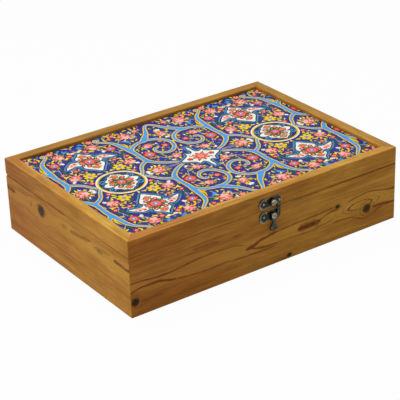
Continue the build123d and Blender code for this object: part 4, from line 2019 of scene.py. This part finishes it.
@dataclass
class PaintedPanel:
    """The decorated panel: its blue ground and the films of paint on it."""

    node: str = "decorated_panel"
    inset: float = 0.05
    shift: float = -1.7
    mirror_line: float = 100.2

    def dress(self) -> None:
        """Give the panel its ground colour."""
        dress_nodes([self.node], Paint.GROUND.finish().material())

    def build(self) -> list[bpy.types.Object]:
        """Paint the pattern on the panel.

        Returns:
            One piece for each colour.
        """
        low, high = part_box(self.node)
        easel = Easel(
            half_width=(high.x - low.x) / 2 / MM - self.inset,
            half_depth=(high.y - low.y) / 2 / MM - self.inset,
            centre=(0.0, self.shift),
            surface=high.z / MM,
            mirror_line=self.mirror_line,
        )
        ScrollPattern(easel).paint()
        used = {shape.paint for shape in easel.shapes}
        pieces = []
        for paint in Paint:
            if paint in used:
                piece = easel.mesh(paint)
                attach(piece, "lid")
                pieces.append(piece)
                LOG.info("%s has %d faces", piece.name, len(piece.data.polygons))
        return pieces


@dataclass
class Hardware:
    """The metal pieces: hinges, screws and the latch."""

    bronze: Colour = from_screen(52, 54, 48)
    # Patina of the latch, also painted on the sides of its plates and hook as painted shade.
    patina_and_shade: Colour = from_screen(24, 25, 22)
    rubbed: Colour = from_screen(204, 194, 162)
    hook: Colour = from_screen(88, 84, 70)
    nail: Colour = from_screen(176, 166, 134)
    nail_patina: Colour = from_screen(74, 68, 54)
    brass: Colour = from_screen(212, 176, 104)
    brass_patina: Colour = from_screen(172, 136, 74)
    brass_rubbed: Colour = from_screen(238, 214, 150)
    steel: Colour = from_screen(186, 182, 172)
    steel_patina: Colour = from_screen(140, 136, 128)
    steel_rubbed: Colour = from_screen(220, 218, 210)

    def finishes(self) -> dict[MetalFinish, list[str]]:
        """Describe the metals.

        Returns:
            The nodes that each finish goes on.
        """
        front = (0.0, -1.0, 0.0)
        bronze = self.bronze, self.patina_and_shade, self.rubbed
        hook = self.hook, self.patina_and_shade, self.rubbed
        nail = self.nail, self.nail_patina, self.rubbed
        brass = self.brass, self.brass_patina, self.brass_rubbed
        steel = self.steel, self.steel_patina, self.steel_rubbed
        # The plates and hook get painted shade on their sides, which don't look to the front.
        plates = MetalFinish("latch_plate_bronze", *bronze, 0.8, 0.38, 1.8, 0.9 * MM, front)
        swing = MetalFinish("latch_hook_bronze", *hook, 0.85, 0.34, 1.0, 0.5 * MM, front)
        fixing = MetalFinish("latch_fixing_bronze", *nail, 0.8, 0.36, 1.4)
        hinge = MetalFinish("hinge_brass", *brass, 0.95, 0.34, 0.6)
        pin = MetalFinish("hinge_pin_steel", *steel, 0.95, 0.3, 0.4)
        sides = ("left", "right")
        leaves = [f"{side}_hinge_{half}_leaf" for side in sides for half in ("lower", "upper")]
        return {
            plates: ["latch_plate", "strike_plate"],
            swing: ["latch_hook"],
            fixing: ["latch_rivet", "strike_stud", "latch_nails", "strike_nails"],
            hinge: [*leaves, "hinge_lower_screws", "hinge_upper_screws"],
            pin: [f"{side}_hinge_pin" for side in sides],
        }

    def dress(self) -> None:
        """Give every metal piece its finish."""
        for finish, nodes in self.finishes().items():
            dress_nodes(nodes, finish.material())


def dress_nodes(names: Iterable[str], material: bpy.types.Material) -> None:
    """Put a material on nodes of the frame.

    Args:
        names: The nodes.
        material: The material.
    """
    for name in names:
        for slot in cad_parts[name].material_slots:
            slot.material = material
        LOG.info("%s wears %s", name, material.name)


@dataclass
class Studio:
    """Floor, soft light and the camera. Lengths are in millimetres, angles in degrees."""

    azimuth: float = -34.5208
    elevation: float = 26.5898
    roll: float = -2.0105
    distance: float = 1578.4
    target: Direction = (-1.97, 0.0, 28.6)
    focal: float = 131.62
    sensor: float = 36.0
    clip: tuple[float, float] = (50.0, 20000.0)
    room: float = 0.22
    floor_half: float = 3000.0
    floor_tone: float = 0.66
    floor_spread: float = 0.03
    floor_grain: float = 0.01
    floor_glow: float = 0.97
    lamp_target: Direction = (0.0, 0.0, 50.0)

    def build(self) -> None:
        """Make the whole studio."""
        self._view_settings()
        self._camera()
        self._floor()
        self._world()
        self._lamp("top_softbox", (-150.0, 100.0, 1300.0), 1000.0, 14.4)
        self._lamp("left_softbox", (-1400.0, -250.0, 620.0), 900.0, 3.4)

    def _view_settings(self) -> None:
        """Show colours as they are written."""
        bpy.context.scene.view_settings.view_transform = "Standard"

    def _camera(self) -> None:
        """Put the camera where the photograph was taken from."""
        azimuth, elevation, roll = (
            math.radians(angle) for angle in (self.azimuth, self.elevation, self.roll)
        )
        level = math.cos(elevation)
        back = Vector((math.sin(azimuth) * level, -math.cos(azimuth) * level, math.sin(elevation)))
        right = (-back).cross(Vector((0, 0, 1))).normalized()
        up = right.cross(-back)
        rolled_right = right * math.cos(roll) + up * math.sin(roll)
        rolled_up = up * math.cos(roll) - right * math.sin(roll)
        place = (Vector(self.target) + back * self.distance) * MM
        turn = Matrix((rolled_right, rolled_up, back)).transposed().to_4x4()
        data = bpy.data.cameras.new("camera")
        data.lens = self.focal
        data.sensor_width = self.sensor
        data.clip_start, data.clip_end = (reach * MM for reach in self.clip)
        camera = bpy.data.objects.new("camera", data)
        camera.matrix_world = Matrix.Translation(place) @ turn
        bpy.context.scene.collection.objects.link(camera)
        bpy.context.scene.camera = camera

    def _floor(self) -> None:
        """Lay the pale floor. The camera sees it as white, but for the object's soft shadow."""
        half = self.floor_half * MM
        corners = [(-half, -half, 0), (half, -half, 0), (half, half, 0), (-half, half, 0)]
        mesh = bpy.data.meshes.new("floor")
        mesh.from_pydata(corners, [], [(0, 1, 2, 3)])
        floor = bpy.data.objects.new("floor", mesh)
        bpy.context.scene.collection.objects.link(floor)
        material, graph, surface = new_material("floor")
        dark, light = (self.floor_tone,) * 3, (self.floor_tone + self.floor_spread,) * 3
        tone = graph.mix(graph.noise(graph.object_place(), self.floor_grain), dark, light)
        graph.feed(surface.inputs["Base Color"], tone)
        surface.inputs["Roughness"].default_value = 0.9
        surface.inputs["Specular IOR Level"].default_value = 0.1
        glow = graph.add("Emission")
        glow.inputs["Color"].default_value = (1.0, 1.0, 1.0, 1.0)
        seen = graph.times(self._seen(graph), self.floor_glow)
        shine = graph.add("MixShader")
        graph.feed_all(shine, (seen, surface.outputs[0], glow.outputs[0]))
        output = next(n for n in graph.tree.nodes if n.bl_idname == "ShaderNodeOutputMaterial")
        graph.feed(output.inputs["Surface"], shine.outputs[0])
        floor.data.materials.append(material)

    def _seen(self, graph: Graph) -> Socket:
        """Tell where the camera, or a mirror or clear glass, looks straight at a surface.

        Args:
            graph: The graph that asks.

        Returns:
            1 there and 0 elsewhere.
        """
        path = graph.add("LightPath")
        rays = (path.outputs[f"Is {kind} Ray"] for kind in ("Camera", "Glossy", "Transmission"))
        seen = graph.math("MAXIMUM", next(rays), next(rays))
        return graph.math("MAXIMUM", seen, next(rays))

    def _world(self) -> None:
        """Fill the room with even light, and show it white."""
        world = bpy.data.worlds.new("room")
        bpy.context.scene.world = world
        world.use_nodes = True
        graph = Graph(world.node_tree)
        world.node_tree.nodes.clear()
        light = graph.add("Background")
        seen = self._seen(graph)
        strength = graph.math("ADD", self.room, graph.times(seen, 1.0 - self.room))
        light.inputs["Color"].default_value = (1.0, 1.0, 1.0, 1.0)
        graph.feed(light.inputs["Strength"], strength)
        graph.feed(graph.add("OutputWorld").inputs["Surface"], light.outputs[0])

    def _lamp(self, name: str, place: Direction, size: float, power: float) -> None:
        """Hang a square soft lamp that faces the box.

        Args:
            name: Its name.
            place: Its place.
            size: The length of its side.
            power: Its power in watts.
        """
        data = bpy.data.lights.new(name, "AREA")
        data.size = size * MM
        data.energy = power
        lamp = bpy.data.objects.new(name, data)
        spot = Vector(place) * MM
        aim = Vector(self.lamp_target) * MM - spot
        lamp.location = spot
        lamp.rotation_mode = "QUATERNION"
        lamp.rotation_quaternion = aim.to_track_quat("-Z", "Y")
        bpy.context.scene.collection.objects.link(lamp)


def main() -> None:
    """Build the studio and dress the box, piece by piece."""
    logging.basicConfig(level=logging.INFO, format="%(message)s")
    Studio().build()
    Timber().dress()
    Hardware().dress()
    panel = PaintedPanel()
    panel.dress()
    pieces = panel.build()
    LOG.info("painted %d colours", len(pieces))


if __name__ == "__main__":
    main()
